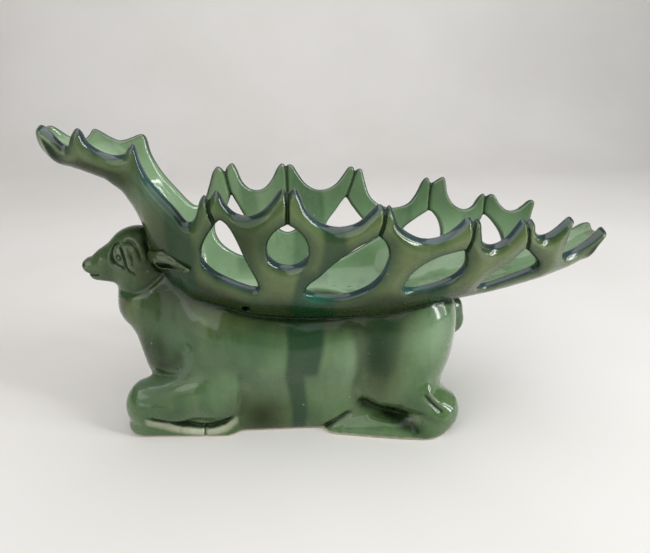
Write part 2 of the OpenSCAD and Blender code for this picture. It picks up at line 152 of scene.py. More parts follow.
# ---------------------------------------------------------------- meshing
def surface(f, lo, hi, h):
    """A quad mesh of the surface f = 0 in the box, as points and faces."""
    h = h * FINE
    lo, hi = np.array(lo, float), np.array(hi, float)
    n = np.ceil((hi - lo) / h).astype(int) + 2
    B = 4
    nb = -(-n // B)
    n = nb * B
    D = np.full(n + 0, 9.0, F)
    cx, cy, cz = np.meshgrid(
        *[lo[i] + (np.arange(nb[i]) * B + (B - 1) / 2) * h for i in range(3)],
        indexing="ij",
    )
    c = f(cx.ravel().astype(F), cy.ravel().astype(F), cz.ravel().astype(F)).reshape(nb)
    near = np.abs(c) < B * h * 1.35 + 2
    D = D.reshape(nb[0], B, nb[1], B, nb[2], B)
    D[...] = np.sign(c)[:, None, :, None, :, None] * 9
    ids = np.argwhere(near)
    g = np.arange(B)
    gx, gy, gz = (v.ravel() for v in np.meshgrid(g, g, g, indexing="ij"))
    step = 3000
    for s in range(0, len(ids), step):
        b = ids[s : s + step]
        x = (lo[0] + (b[:, 0:1] * B + gx) * h).astype(F).ravel()
        y = (lo[1] + (b[:, 1:2] * B + gy) * h).astype(F).ravel()
        z = (lo[2] + (b[:, 2:3] * B + gz) * h).astype(F).ravel()
        v = f(x, y, z).reshape(len(b), B, B, B)
        D[b[:, 0], :, b[:, 1], :, b[:, 2], :] = v
    D = D.reshape(n)
    D[0], D[-1], D[:, 0], D[:, -1], D[:, :, 0], D[:, :, -1] = (9,) * 6
    S = D < 0
    tot = np.zeros(np.array(S.shape) - 1, np.int8)
    for i in (0, 1):
        for j in (0, 1):
            for k in (0, 1):
                tot += S[
                    i : S.shape[0] - 1 + i, j : S.shape[1] - 1 + j, k : S.shape[2] - 1 + k
                ]
    cells = np.argwhere((tot > 0) & (tot < 8))
    index = np.full(tot.shape, -1, np.int32)
    index[tuple(cells.T)] = np.arange(len(cells))
    pos = np.zeros((len(cells), 3))
    cnt = np.zeros(len(cells))
    corners = [(i, j, k) for i in (0, 1) for j in (0, 1) for k in (0, 1)]
    for a in corners:
        for ax in range(3):
            if a[ax]:
                continue
            b = list(a)
            b[ax] = 1
            va = D[tuple((cells + a).T)].astype(float)
            vb = D[tuple((cells + b).T)].astype(float)
            m = (va < 0) != (vb < 0)
            t = np.where(m, va / np.where(m, va - vb, 1), 0)
            p = np.array(a, float)[None] + t[:, None] * (np.array(b) - np.array(a))
            pos[m] += p[m]
            cnt[m] += 1
    pos = lo + (cells + pos / cnt[:, None]) * h
    faces = []
    for ax in range(3):
        u, v = (ax + 1) % 3, (ax + 2) % 3
        s0 = np.take(S, range(0, S.shape[ax] - 1), ax)
        s1 = np.take(S, range(1, S.shape[ax]), ax)
        e = np.argwhere(s0 != s1)
        e = e[(e[:, u] > 0) & (e[:, v] > 0) & (e[:, u] < tot.shape[u]) & (e[:, v] < tot.shape[v])]
        flip = s1[tuple(e.T)]
        q = []
        for du, dv in ((-1, -1), (0, -1), (0, 0), (-1, 0)):
            w = e.copy()
            w[:, u] += du
            w[:, v] += dv
            q.append(index[tuple(w.T)])
        q = np.stack(q, 1)
        q[flip] = q[flip][:, ::-1]
        faces.append(q)
    return pos, np.concatenate(faces)


def field(f, p):
    return f(p[:, 0].astype(F), p[:, 1].astype(F), p[:, 2].astype(F)).astype(float)


def gradient(f, p, e=0.35):
    """Field and its gradient at points p, from four samples."""
    k = np.array([[1, -1, -1], [-1, -1, 1], [-1, 1, -1], [1, 1, 1]], float)
    v = [field(f, p + e * q) for q in k]
    g = sum(q[None] * w[:, None] for q, w in zip(k, v)) / (4 * e)
    return sum(v) / 4, g


def settle(f, p, faces, h, rounds=2):
    """Evens out the points and puts them on the surface."""
    h = h * FINE
    a = faces.ravel()
    b = np.roll(faces, -1, 1).ravel()
    deg = np.bincount(a, minlength=len(p)) + np.bincount(b, minlength=len(p))
    deg = np.maximum(deg, 1)
    for i in range(rounds + 1):
        if i:
            m = np.stack(
                [
                    (
                        np.bincount(a, p[b, c], minlength=len(p))
                        + np.bincount(b, p[a, c], minlength=len(p))
                    )
                    / deg
                    for c in range(3)
                ],
                1,
            )
            p = p + 0.55 * (m - p)
        v, g = gradient(f, p)
        l2 = np.maximum((g * g).sum(1), 0.04)
        s = g * (v / l2)[:, None]
        n = np.linalg.norm(s, axis=1)
        s *= np.minimum(1, 0.8 * h / np.maximum(n, 1e-9))[:, None]
        p = p - s
    return p


def build(name, f, lo, hi, h, keep=None, rounds=2, normals=None):
    """The mesh of f, kept where keep() says, as (points, faces, normals)."""
    p, q = surface(f, lo, hi, h)
    p = settle(f, p, q, h, rounds)
    _, g = gradient(normals or f, p, 0.3)
    g /= np.maximum(np.linalg.norm(g, axis=1), 1e-9)[:, None]
    if keep is not None:
        c = p[q].mean(1)
        q = q[keep(c)]
        used = np.unique(q)
        new = np.full(len(p), -1)
        new[used] = np.arange(len(used))
        p, g, q = p[used], g[used], new[q]
    return p, q, g


def to_object(name, p, q, g, masks, material, smooth_normals=True):
    me = bpy.data.meshes.new(name)
    me.vertices.add(len(p))
    me.vertices.foreach_set("co", (p * MM).astype(F).ravel())
    me.loops.add(q.size)
    me.loops.foreach_set("vertex_index", q.astype(np.int32).ravel())
    me.polygons.add(len(q))
    me.polygons.foreach_set("loop_start", (np.arange(len(q)) * 4).astype(np.int32))
    me.polygons.foreach_set("use_smooth", np.ones(len(q), bool))
    me.update(calc_edges=True)
    me.validate()
    for key, val in masks.items():
        at = me.attributes.new(key, "FLOAT", "POINT")
        at.data.foreach_set("value", np.clip(val, 0, 1).astype(F))
    if smooth_normals and len(me.vertices) == len(g):
        me.normals_split_custom_set_from_vertices(g.astype(F))
    o = bpy.data.objects.new(name, me)
    bpy.context.scene.collection.objects.link(o)
    me.materials.append(material)
    return o


# ---------------------------------------------------------------- antler basket
def table(rows, x0=-212, x1=212, soft=3.0):
    """A smooth lookup of a table along X."""
    xs = np.arange(x0, x1 + 1, 1.0)
    v = np.interp(xs, [r[0] for r in rows], [r[1] for r in rows])
    k = np.arange(-12, 13)
    w = np.exp(-((k / soft) ** 2) / 2)
    w /= w.sum()
    pad = np.concatenate([2 * v[0] - v[12:0:-1], v, 2 * v[-1] - v[-2:-14:-1]])
    v = np.convolve(pad, w, "valid")
    return v, x0, np.gradient(v)


def at(tab, x):
    v, x0, d = tab
    i = np.clip(x - x0, 0, len(v) - 1.001)
    j = i.astype(np.int32)
    t = (i - j).astype(F)
    return (v[j] * (1 - t) + v[j + 1] * t).astype(F), (
        d[j] * (1 - t) + d[j + 1] * t
    ).astype(F)


HALF_W = table(
    [(-206, 6), (-200, 8), (-188, 15), (-174, 20), (-160, 20), (-150, 19), (-143, 19), (-137, 20),
     (-130, 24), (-120, 30), (-106, 38), (-90, 45), (-65, 52), (-38, 55), (0, 60), (25, 61), (60, 60),
     (90, 54), (110, 48), (128, 42), (150, 36), (170, 29), (188, 20), (200, 12), (206, 8)]
)
REF_Z = table(
    [(-206, 229), (-200, 228), (-174, 226), (-160, 222), (-150, 219), (-137, 214), (-120, 200),
     (-106, 190), (0, 190), (25, 186), (60, 182), (90, 177), (128, 170), (150, 168), (170, 164),
     (188, 158), (206, 150)]
)
KEEL_Z = table(
    [(-206, 223), (-200, 218), (-188, 210), (-174, 205), (-160, 199), (-150, 191), (-143, 181),
     (-137, 168), (-130, 145), (-120, 118), (-106, 100), (-90, 93), (-66, 88), (36, 88),
     (48, 93), (60, 98), (75, 102), (90, 105), (110, 108), (128, 112), (150, 118),
     (170, 126), (188, 135), (206, 148)],
    soft=2.2,
)
BN = 2.4


def basket_mid(x, y, z):
    """Signed distance to the basket's middle surface, negative inside the bowl."""
    a, da = at(HALF_W, x)
    c, dc = at(REF_Z, x)
    k, dk = at(KEEL_Z, x)
    u = np.maximum(np.abs(y) / a, 1e-4)
    v = np.maximum((c - z) / (c - k), 0)
    un, vn = u ** (BN - 1), v ** (BN - 1)
    Fv = un * u + vn * v
    s = Fv ** (1 / BN)
    m = s / np.maximum(Fv, 1e-9)
    gy = m * un / a
    gz = m * vn / (c - k)
    gx = m * (-un * u * da / a + vn * np.where(v > 0, (dc - v * (dc - dk)) / (c - k), 0))
    return (s - 1) / np.sqrt(gx * gx + gy * gy + gz * gz + 1e-9)


RIM_NEAR = [
    (-203, 222), (-202, 228), (-198, 229.5), (-191, 224.5), (-184, 217.5), (-180, 218.5), (-176.5, 225), (-173, 228.7),
    (-170, 226.5), (-167, 220), (-160, 214), (-152, 211.3), (-145, 212.5), (-141.5, 217), (-138.5, 218.7),
    (-136.6, 215), (-135, 207), (-130.5, 197), (-122, 187.5), (-113, 179), (-106.5, 171.5), (-102, 171), (-98, 177),
    (-95, 185.5), (-92, 189.6), (-89.2, 188.2), (-87.2, 189.8), (-84, 193.4), (-81, 191), (-78, 185), (-72, 179.2),
    (-63, 177.6), (-54.5, 181.5), (-49, 187.5), (-44.5, 193.6), (-41.2, 195.6), (-38.6, 193.6), (-36.2, 195),
    (-33.2, 195.6), (-30.6, 191.5), (-27, 183), (-20, 175.5), (-11, 171.6), (-2, 171.6), (6, 174.5), (12.5, 180.5), (17.5, 185.6),
    (20.6, 186), (22.8, 184.6), (25.4, 185.6), (28, 182), (31, 174.5), (37, 168.3), (46, 163.4), (55, 162.4), (64, 165),
    (71.5, 170), (76.5, 174.8), (79.8, 175.6), (82, 173.6), (84.2, 174.6), (87, 173.2), (88.6, 166), (91, 158.5),
    (97, 154.6), (104, 154.8), (110.5, 158.6), (116, 165), (120.3, 170.2), (123, 170.4), (125.2, 168.6), (128, 169.6),
    (130.4, 167.6), (132.4, 161.5), (138, 156.8), (145, 157.4), (152, 161.4), (158.5, 166.3), (162, 167.6), (163.6, 165.4),
    (161.8, 159), (160.4, 150), (161.2, 143), (164.2, 138.6), (170, 138.2), (179, 141), (189, 147.3), (197, 152.8),
    (200.8, 153), (202.4, 150.4), (201.4, 146.5), (199, 142),
]
RIM_FAR = [
    (-203, 221), (-202, 226), (-198, 227.5), (-190, 220.5), (-182, 217), (-177.5, 220), (-174.5, 224), (-171.5, 223.6),
    (-164, 219), (-157, 216.2), (-149, 218), (-143, 220.3), (-139.3, 219), (-137, 207), (-131, 193), (-122, 178.5),
    (-113, 166), (-107, 163.5), (-103, 168), (-99, 179), (-96, 188), (-92.5, 192.4), (-89.6, 191), (-87.2, 188.6),
    (-84.6, 192), (-81, 194.4), (-78.2, 190), (-74.5, 180), (-69, 173.6), (-62, 171.6), (-55.5, 174), (-50, 180.4),
    (-45.5, 189), (-42, 192.6), (-39, 190.6), (-36.4, 191.6), (-33.2, 190.6), (-29.4, 184.5), (-23, 175.6), (-14.5, 170.3),
    (-5.5, 170.2), (2.5, 174), (8.5, 181), (13, 187.4), (16.4, 188.3), (18.8, 185.4), (21.4, 186.4), (24.4, 185.6),
    (26.8, 177.5), (31, 165), (38, 157.4), (47.5, 153.6), (57.5, 154), (65.5, 157.8), (71.4, 166), (76, 176.6),
    (79.4, 179.6), (82, 176.2), (85, 176), (89, 179), (92.4, 180.4), (94.2, 176.5), (96.6, 166), (102, 157.6),
    (110, 154.2), (116.8, 157.4), (120.8, 164.6), (124, 168.3), (127, 166.6), (130, 168.3), (133, 167), (137.4, 160.4),
    (143.5, 155.4), (150.5, 156.2), (156, 161), (160.2, 165.2), (163.2, 162.8), (162, 154), (161.2, 145), (164.4, 138.8),
    (171, 137.4), (180, 139.5), (190, 144.4), (197, 150), (200.6, 151.4), (202, 149), (201, 145.5), (199, 142),
]
HOLES_NEAR = [
    [(-82, 175.6), (-86, 172), (-92.6, 163), (-97, 153), (-96, 143.6), (-89, 136), (-77, 129.6), (-64, 125), (-59.6, 127), (-61, 134), (-66.5, 147), (-71.6, 161), (-76.6, 171)],
    [(-39, 173.4), (-33.4, 170.8), (-28, 164.8), (-25.4, 157), (-27, 150), (-32, 145), (-39, 143), (-46, 144.8), (-51.2, 150), (-53, 157.6), (-50.4, 165.2), (-45, 170.9)],
    [(18.2, 166.4), (23.4, 163.4), (26.8, 156), (26.4, 147), (22.6, 136.6), (14.6, 127), (3, 120.6), (-9, 118.8), (-21, 120.2), (-27.6, 124.6), (-25, 130.4), (-19, 136), (-11, 145), (-3, 152.4), (5, 158.6), (12.4, 163)],
    [(39, 128), (40.4, 133.4), (44, 139.4), (51, 146), (60.5, 151), (70.6, 153.4), (77.4, 154.2), (80.2, 150.4), (81, 142), (77.4, 134.6), (70, 129.4), (59.6, 125.8), (50, 124), (42.6, 125)],
    [(97, 120.6), (100.6, 128), (107, 134.8), (116.6, 141), (123, 147.6), (128, 149), (135, 143.4), (141.6, 136.4), (141, 130), (132, 125.6), (120, 121.8), (106, 117.8)],
]
HOLES_FAR = [
    [(-83.4, 169.6), (-87, 162), (-92.6, 154.6), (-97.6, 146), (-95.4, 135.6), (-88, 126.6), (-76, 119.6), (-66, 119.4), (-62, 126), (-67.6, 140.6), (-74.6, 154), (-79.4, 163.6)],
    [(-38, 159.6), (-31.4, 155), (-27.4, 147.6), (-30, 139.6), (-38, 136), (-46, 139.6), (-48.8, 147.4), (-44.8, 155)],
    [(11, 163), (2.6, 153), (-5.6, 142), (-8, 129.6), (-4.4, 119), (4, 113.4), (16, 117.4), (29.6, 124), (39.6, 130.6), (34, 138), (25, 146), (17, 156)],
    [(82, 152), (70.4, 144.8), (61, 137), (57, 128.6), (63, 122.4), (77, 121), (88.4, 125.6), (92.6, 133), (91.4, 142), (87.4, 149)],
    [(126, 151), (121.4, 142), (121, 131.6), (126.6, 125.6), (135, 126), (140.6, 130), (139.8, 136), (136, 142.6), (130.6, 148.8)],
]
# Slits between tine pairs that lean together: (x, z) from the tips to the opening, half width
SLITS_NEAR = []
SLITS_FAR = []
# Lines where a pair of tines touches
SEAMS_NEAR = [[(-38.7, 198), (-38.7, 188), (-38.9, 173)], [(-88.9, 189), (-88.6, 181), (-85.6, 172)], [(22.6, 186), (21.6, 176), (19.4, 166)], [(82.8, 175), (81.6, 163), (79.6, 153)], [(123.6, 171), (125.6, 160), (127.4, 149)]]
SEAMS_FAR = [[(-87.2, 189), (-85.6, 179), (-83.4, 169)], [(-38.6, 190), (-38, 174), (-38, 159)], [(19.4, 186), (15.6, 174), (11.4, 162)], [(83, 176), (82.2, 164), (82, 151)], [(126.4, 168), (126, 160), (126, 150)]]


def loop_curve(pts, n=5):
    p = np.array(pts, float)
    m = len(p)
    out = []
    for i in range(m):
        a, b, c, d = p[i - 1], p[i], p[(i + 1) % m], p[(i + 2) % m]
        for j in range(n):
            t = j / n
            out.append(
                0.5
                * (2 * b + (c - a) * t + (2 * a - 5 * b + 4 * c - d) * t * t + (3 * b - a - 3 * c + d) * t**3)
            )
    return np.array(out)


OX0, OZ0, OSTEP = -210.0, 78.0, 0.5
ONX, ONZ = 841, 325


def loop_distance(p):
    """Signed distance from a grid in the side view to a closed curve, negative inside."""
    x = (OX0 + OSTEP * np.arange(ONX)).astype(F)[:, None]
    z = (OZ0 + OSTEP * np.arange(ONZ)).astype(F)[None, :]
    best = np.full((ONX, ONZ), 1e9, F)
    inside = np.zeros((ONX, ONZ), bool)
    q = np.roll(p, -1, 0)
    for a, b in zip(p, q):
        d = b - a
        i0 = max(0, int((min(a[0], b[0]) - 16 - OX0) / OSTEP))
        i1 = min(ONX, int((max(a[0], b[0]) + 16 - OX0) / OSTEP) + 1)
        xs = x[i0:i1]
        t = np.clip(((xs - a[0]) * d[0] + (z - a[1]) * d[1]) / max(d @ d, 1e-9), 0, 1)
        w = (xs - a[0] - t * d[0]) ** 2 + (z - a[1] - t * d[1]) ** 2
        best[i0:i1] = np.minimum(best[i0:i1], w)
        if (a[1] > b[1]) != (a[1] == b[1]):
            pass
        c = (a[1] > z) != (b[1] > z)
        if c.any():
            xi = a[0] + (z - a[1]) * d[0] / (d[1] if abs(d[1]) > 1e-9 else 1e-9)
            inside ^= c & (x < xi)
    r = np.minimum(np.sqrt(best), 20)
    return np.where(inside, -r, r).astype(F)


def outline(rim, holes, slits):
    pts = catmull(np.array(rim, float), 5)
    closed = np.vstack([pts, [[206, 60], [-206, 60]]])
    d = loop_distance(closed)
    for hole in holes:
        d = np.maximum(d, -loop_distance(loop_curve(hole)))
    d = d - 0.45
    x = (OX0 + OSTEP * np.arange(ONX)).astype(F)[:, None] + np.zeros((1, ONZ), F)
    z = (OZ0 + OSTEP * np.arange(ONZ)).astype(F)[None, :] + np.zeros((ONX, 1), F)
    for s in slits:
        dd, t = line2(x, z, [s[0], s[1]])
        d = smax(d, s[2] + 0.9 * t * t - dd, 0.6)
    return d


OUT_NEAR = outline(RIM_NEAR, HOLES_NEAR, SLITS_NEAR)
OUT_FAR = outline(RIM_FAR, HOLES_FAR, SLITS_FAR)


def sample(grid, x, z):
    i = np.clip((x - OX0) / OSTEP, 0, ONX - 1.001)
    j = np.clip((z - OZ0) / OSTEP, 0, ONZ - 1.001)
    a, b = i.astype(np.int32), j.astype(np.int32)
    s, t = (i - a).astype(F), (j - b).astype(F)
    flat = grid.ravel()
    k = a * ONZ + b
    return (flat[k] * (1 - s) + flat[k + ONZ] * s) * (1 - t) + (
        flat[k + 1] * (1 - s) + flat[k + ONZ + 1] * s
    ) * t


def edge(x, y, z):
    """Distance to the antlers' edges in the side view, negative in the clay."""
    w = np.clip((y + 2.5) / 5, 0, 1)
    return sample(OUT_NEAR, x, z) * (1 - w) + sample(OUT_FAR, x, z) * w


HALF = 4.15


def basket(x, y, z):
    m = basket_mid(x, y, z)
    e = edge(x, y, z)
    rise = np.clip((edge(x, y, z + 1.5) - edge(x, y, z - 1.5)) / 3, 0, 1)
    t = np.clip(-e / 11, 0, 1)
    e = e + 0.5 * rise * np.clip(m + 1.0, -HALF + 1, HALF + 1)
    low = np.clip((z - 104) / 22, 0, 1)
    swell = 2.0 * t * t * (3 - 2 * t) * low
    d1 = np.maximum(m - HALF - swell, -m - HALF)
    for pts in SEAMS_NEAR:
        d1 = d1 + groove(x, z, pts, 1.4, 2.3, False) * (y < 0)
    for pts in SEAMS_FAR:
        d1 = d1 + groove(x, z, pts, 1.4, 2.0, False) * (y > 0)
    r = 3.3
    a, b = np.maximum(d1 + r, 0), np.maximum(e + r, 0)
    return np.sqrt(a * a + b * b) - r + np.minimum(np.maximum(d1 + r, e + r), 0)


# ---------------------------------------------------------------- stag
EYE = (-159.6, 15.6, 141.2)


def trunk(x, y, z, g=0.0):
    s = lambda *r: tuple(v - g for v in r)
    d = seg(x, y, z, (-108, 0, 62), s(40, 41, 42), (52, 0, 62), s(42, 44, 44))
    d = smin(d, seg(x, y, z, (-104, 0, 16), s(42, 39.5, 38), (44, 0, 16), s(40, 41, 38)), 20)
    d = smin(d, seg(x, y, z, (56, 0, 86), s(34, 38, 28), (72, 0, 88), s(18, 35, 28)), 14)
    d = smin(d, seg(x, y, z, (-96, 0, 80), s(34, 42, 34), (-60, 0, 70), s(34, 42, 33)), 14)
    a = np.abs(y)
    d = smin(d, seg(x, a, z, (-84, 20, 80), s(26, 26, 30), (-30, 19, 69), s(26, 26, 26.5)), 9)
    d = smin(d, seg(x, a, z, (-36, 19, 69), s(26, 26, 27), (56, 20, 90), s(28, 28, 29)), 9)
    d = smin(d, seg(x, y, z, (-140, 0, 98), s(26, 24, 24), (-120, 0, 70), s(38, 36, 36)), 12)
    d = smin(d, seg(x, y, z, (-142, 0, 100), s(25, 23, 22), (-148, 0, 132), s(18, 16.5, 18)), 10)
    d = smin(d, seg(x, y, z, (-132, 0, 126), s(15, 19, 18), (-106, 0, 98), s(28, 36, 31)), 10)
    return d


def limbs(x, y, z):
    """The legs as one field on the folded side view."""
    far = np.clip((y - 4) / 10, 0, 1)
    y = np.abs(y)
    thigh = smin(
        ell(x, y, z, (50, 20, 64), (35, 33, 43)),
        seg(x, y, z, (40, 30, 40), (28, 24, 24), (54, 34, 33), (18, 19, 19)),
        12,
    )
    thigh = smin(thigh, seg(x, y, z, (54, 20, 86), (30, 29, 28), (70, 16, 88), (17.5, 27, 29)), 9)
    hock = seg(x, y, z, (61, 38, 33), (12, 17, 15), (74, 38.5, 16), (18.5, 19, 19.5))
    foot = seg(x, y, z, (62, 44, 5), (20, 15, 13), (2, 38, -2), (15, 9.5, 14))
    shoulder = smin(
        ell(x, y, z, (-90, 19, 79), (27, 27, 35)),
        seg(x, y, z, (-90, 24, 44), (24, 22.5, 26), (-96, 26, 28), (22, 19, 20)),
        12,
    )
    # the far knee is folded a little shorter than the near one
    x = x - 9 * far * np.clip((-100 - x) / 45, 0, 1)
    fore = seg(x, y, z, (-106, 29, 36), (21, 19, 20), (-146, 26, 21), (20.5, 17, 22.5))
    hoof = seg(x, y, z, (-151, 26, 6), (15, 14.5, 10), (-90, 31, 4), (12.5, 12, 9))
    front = smin(smin(shoulder, fore, 8), hoof, 3)
    rear = smin(smin(thigh, hock, 7), foot, 5)
    return front, rear


ARM_RIDGE = [(-114.5, 80), (-112.6, 75), (-112.2, 68), (-114.4, 60), (-119.4, 53.6), (-127, 48.8), (-138, 45.2), (-149, 43), (-158, 39.6)]
ARM_LEDGE = [(-116.4, 64), (-120.4, 59.4), (-126.4, 57), (-133, 57)]
ARM_FOLD = [(-118, 76), (-119, 69), (-122.4, 63.6), (-129, 61.4), (-140, 60)]
ARM_FOLD_2 = [(-119.6, 56.6), (-127, 53), (-139, 51.6), (-148, 51)]
HOOF_LINE = [(-148, 20), (-142, 17.8), (-134, 14.8), (-124, 11.8), (-113, 9.6), (-106, 8.8), (-98, 9.4), (-88, 12.8), (-81.6, 16.8)]
SHANK_LINE = [(12, 28), (17, 24.6), (24, 21), (33, 17), (43, 13), (53, 9.4), (61, 6.6)]
FOOT_LINE = [(-15, 2), (-8, 8), (0, 13), (8, 18)]
HOCK_SLIT = [(60, 40), (65, 33.5), (70.5, 27.5), (76, 23.5)]
HOCK_EDGE = [(57, 27), (64, 23.4), (71, 20), (79, 17.6)]
HAUNCH_EDGE = [(6, 96), (9, 84), (12, 68), (12.5, 50), (10.5, 34)]
LEG_BACK = [(-77, 58), (-76.5, 40), (-77, 24), (-80, 14)]


def body(x, y, z):
    t = trunk(x, y, z)
    front, rear = limbs(x, y, z)
    d = smin(smin(t, front, 3.5), rear, 6)
    tail = smin(ell(x, y, z, (93, 0, 87), (8, 8, 8)), ell(x, y, z, (95, 0, 75), (8.4, 8.6, 12)), 5)
    d = smin(d, tail, 4)
    side = np.clip((np.abs(y) - 14) / 12, 0, 1)
    low = side * np.clip((z + 4) / 4, 0, 1)
    press = groove(x, z, HOOF_LINE, 2.0, 2.6)
    press = press + groove(x, z, SHANK_LINE, 5.2, 3.4)
    press = press + groove(x, z, HOCK_SLIT, 1.9, 1.6)
    press = press + groove(x, z, FOOT_LINE, 1.8, 1.4)
    press = press + groove(x, z, HAUNCH_EDGE, 5.5, 2.2)
    press = press + groove(x, z, LEG_BACK, 4.5, 2.2)
    press = press + groove(x, z, ARM_FOLD, 5.5, 2.0)
    press = press + groove(x, z, ARM_FOLD_2, 3.2, 0.9)
    press = press + groove(x, z, [(-105.5, 9), (-105.6, 4), (-105.8, -3)], 1.3, 1.7, False)
    press = press - groove(x, z, ARM_RIDGE, 3.4, 2.0)
    press = press - groove(x, z, ARM_LEDGE, 2.2, 1.0)
    press = press - groove(x, z, [(-156, 30), (-146, 30), (-134, 29.4), (-122, 30)], 1.6, 0.5)
    press = press - groove(x, z, HOCK_EDGE, 2.4, 1.0)
    press = press - groove(x, z, [(62.5, 42.5), (68, 35.5), (74, 30)], 2.2, 1.0)
    return d + low * press


LID = [(-158.6, 150.4), (-155, 147.6), (-152.6, 143.4), (-151.2, 138.4), (-150.2, 133.6), (-147.6, 129)]
EYE_LINE = [(-158.6, 150), (-162.6, 147.4), (-164.8, 143), (-165, 138.4), (-163.4, 134.8), (-160.6, 132.8), (-157, 132.2), (-154.4, 132.6)]
EYE_BACK = [(-158.6, 149.6), (-156.4, 145), (-155, 140.6), (-154.4, 136.4), (-153.4, 131.4), (-150.4, 128.2), (-147, 126.8)]
LOCKS = [
    [(-156, 153.2), (-150.4, 153.6), (-145, 150.4), (-141.8, 145), (-141.4, 139)],
    [(-149.4, 147.6), (-146.8, 142.6), (-146.2, 137.4), (-147.6, 132.4)],
]
CURLS = [
    [(-161.4, 153.6), (-157.4, 155.4), (-152.4, 156.4), (-147.6, 154.4)],
    [(-154.6, 150.6), (-150.2, 150.4), (-146.4, 147.4), (-143.9, 142.4), (-143.6, 136.6)],
    [(-140.6, 151), (-138.4, 146), (-138, 140.6), (-140.2, 135.6)],
    [(-149.6, 143.4), (-149, 138.6), (-149.4, 134)],
]


def head(x, y, z):
    a = np.abs(y)
    d = ell(x, y, z, (-148.4, 0, 137.4), (20.4, 17.5, 21))
    d = smin(d, seg(x, y, z, (-157, 0, 137.5), (13.5, 14.5, 15), (-171, 0, 131), (10.5, 10.5, 11.5)), 6)
    d = smin(d, seg(x, y, z, (-170, 0, 131), (9, 9, 10.5), (-182.4, 0, 127.6), (7.8, 7.2, 7.4)), 6)
    d = smin(d, seg(x, y, z, (-174, 0, 122), (8, 6.4, 5), (-150, 0, 122), (18, 15.5, 12)), 7)
    # muzzle pad, chin, cheek
    d = smin(d, ell(x, a, z, (-186, 2.2, 129.4), (4.4, 4.0, 4.2)), 3)
    d = smin(d, ell(x, y, z, (-181, 0, 120.4), (5, 4.6, 3)), 2.5)
    d = smin(d, ell(x, a, z, (-147, 14, 137), (9, 4.6, 11)), 5)
    # eye: ball in a socket, pupil ring, lids
    side = np.clip((a - 8) / 4, 0, 1)
    ex, ez = turned(x, z, EYE[0], EYE[2], -62)
    almond = np.sqrt((ex / 9.4) ** 2 + (ez / 4.4) ** 2) - 1
    ball = np.clip(-almond, 0, 1)
    press = -1.5 * np.sqrt(ball)
    pupil = np.sqrt((ex - 1.4) ** 2 + (ez + 0.2) ** 2)
    press = press + 0.7 * np.exp(-(((pupil - 1.9) / 0.7) ** 2))
    press = press + groove(x, z, EYE_LINE, 1.25, 1.9)
    press = press + groove(x, z, EYE_BACK, 0.9, 1.5)
    press = press - groove(x, z, LID, 2.7, 1.7)
    press = press - groove(x, z, [(-166.4, 148), (-168, 143), (-168, 137.4), (-165.8, 132.4), (-161, 129.6), (-155, 129.2)], 1.5, 0.6)
    return d, side, press


def stag(x, y, z):
    """Outside of the whole casting without the antlers."""
    b = body(x, y, z)
    h, side, press = head(x, y, z)
    for c in CURLS:
        press = press + groove(x, z, c, 1.0, 0.8)
    for c in LOCKS:
        press = press - groove(x, z, c, 2.0, 0.6)
    a = np.abs(y)
    h = h + press * side
    d = smin(b, h, 5.0)
    # nostrils and mouth
    d = smax(d, -(ell(x, a, z, (-188.4, 4.4, 130.4), (1.5, 1.2, 1.1))), 1.0)
    m, t = line2(x, z, [(-191, 124.6), (-186.6, 123), (-182, 122.8), (-178, 123.4)])
    d = d + 1.3 * np.exp(-((m / 0.9) ** 2)) * (z < 132) * np.clip((-172 - x) / 3, 0, 1)
    # collar folds behind the jaw and below the ear
    collar = groove(x, z, [(-163, 112.5), (-152, 113), (-141, 117.6), (-133, 124), (-128, 128.6)], 2.4, 1.7)
    collar = collar + groove(x, z, [(-136, 135.6), (-130, 129.6), (-122, 127.4), (-113, 124)], 1.3, 1.6)
    d = d + collar * np.clip((a - 3) / 6, 0, 1)
    return d


NECK = (Vector((-150, 0, 112)), Vector((math.sin(math.radians(-14)), 0, math.cos(math.radians(-14)))))
VENT_X, VENT_Z = -69.5, 107.5


def above_neck(x, y, z):
    """Height over the joint between body and head."""
    return (x - NECK[0].x) * NECK[1].x + (z - NECK[0].z) * NECK[1].z


def hollow(x, y, z):
    d = trunk(x, y, z, 5.5)
    d = smin(d, seg(x, y, z, (-138, 0, 104), (19, 16, 14), (-150, 0, 134), (13, 11, 12)), 6)
    a = np.abs(y)
    d = smin(d, seg(x, a, z, (52, 18, 62), (28, 24, 32), (50, 18, 8), (22, 15, 16)), 6)
    return d


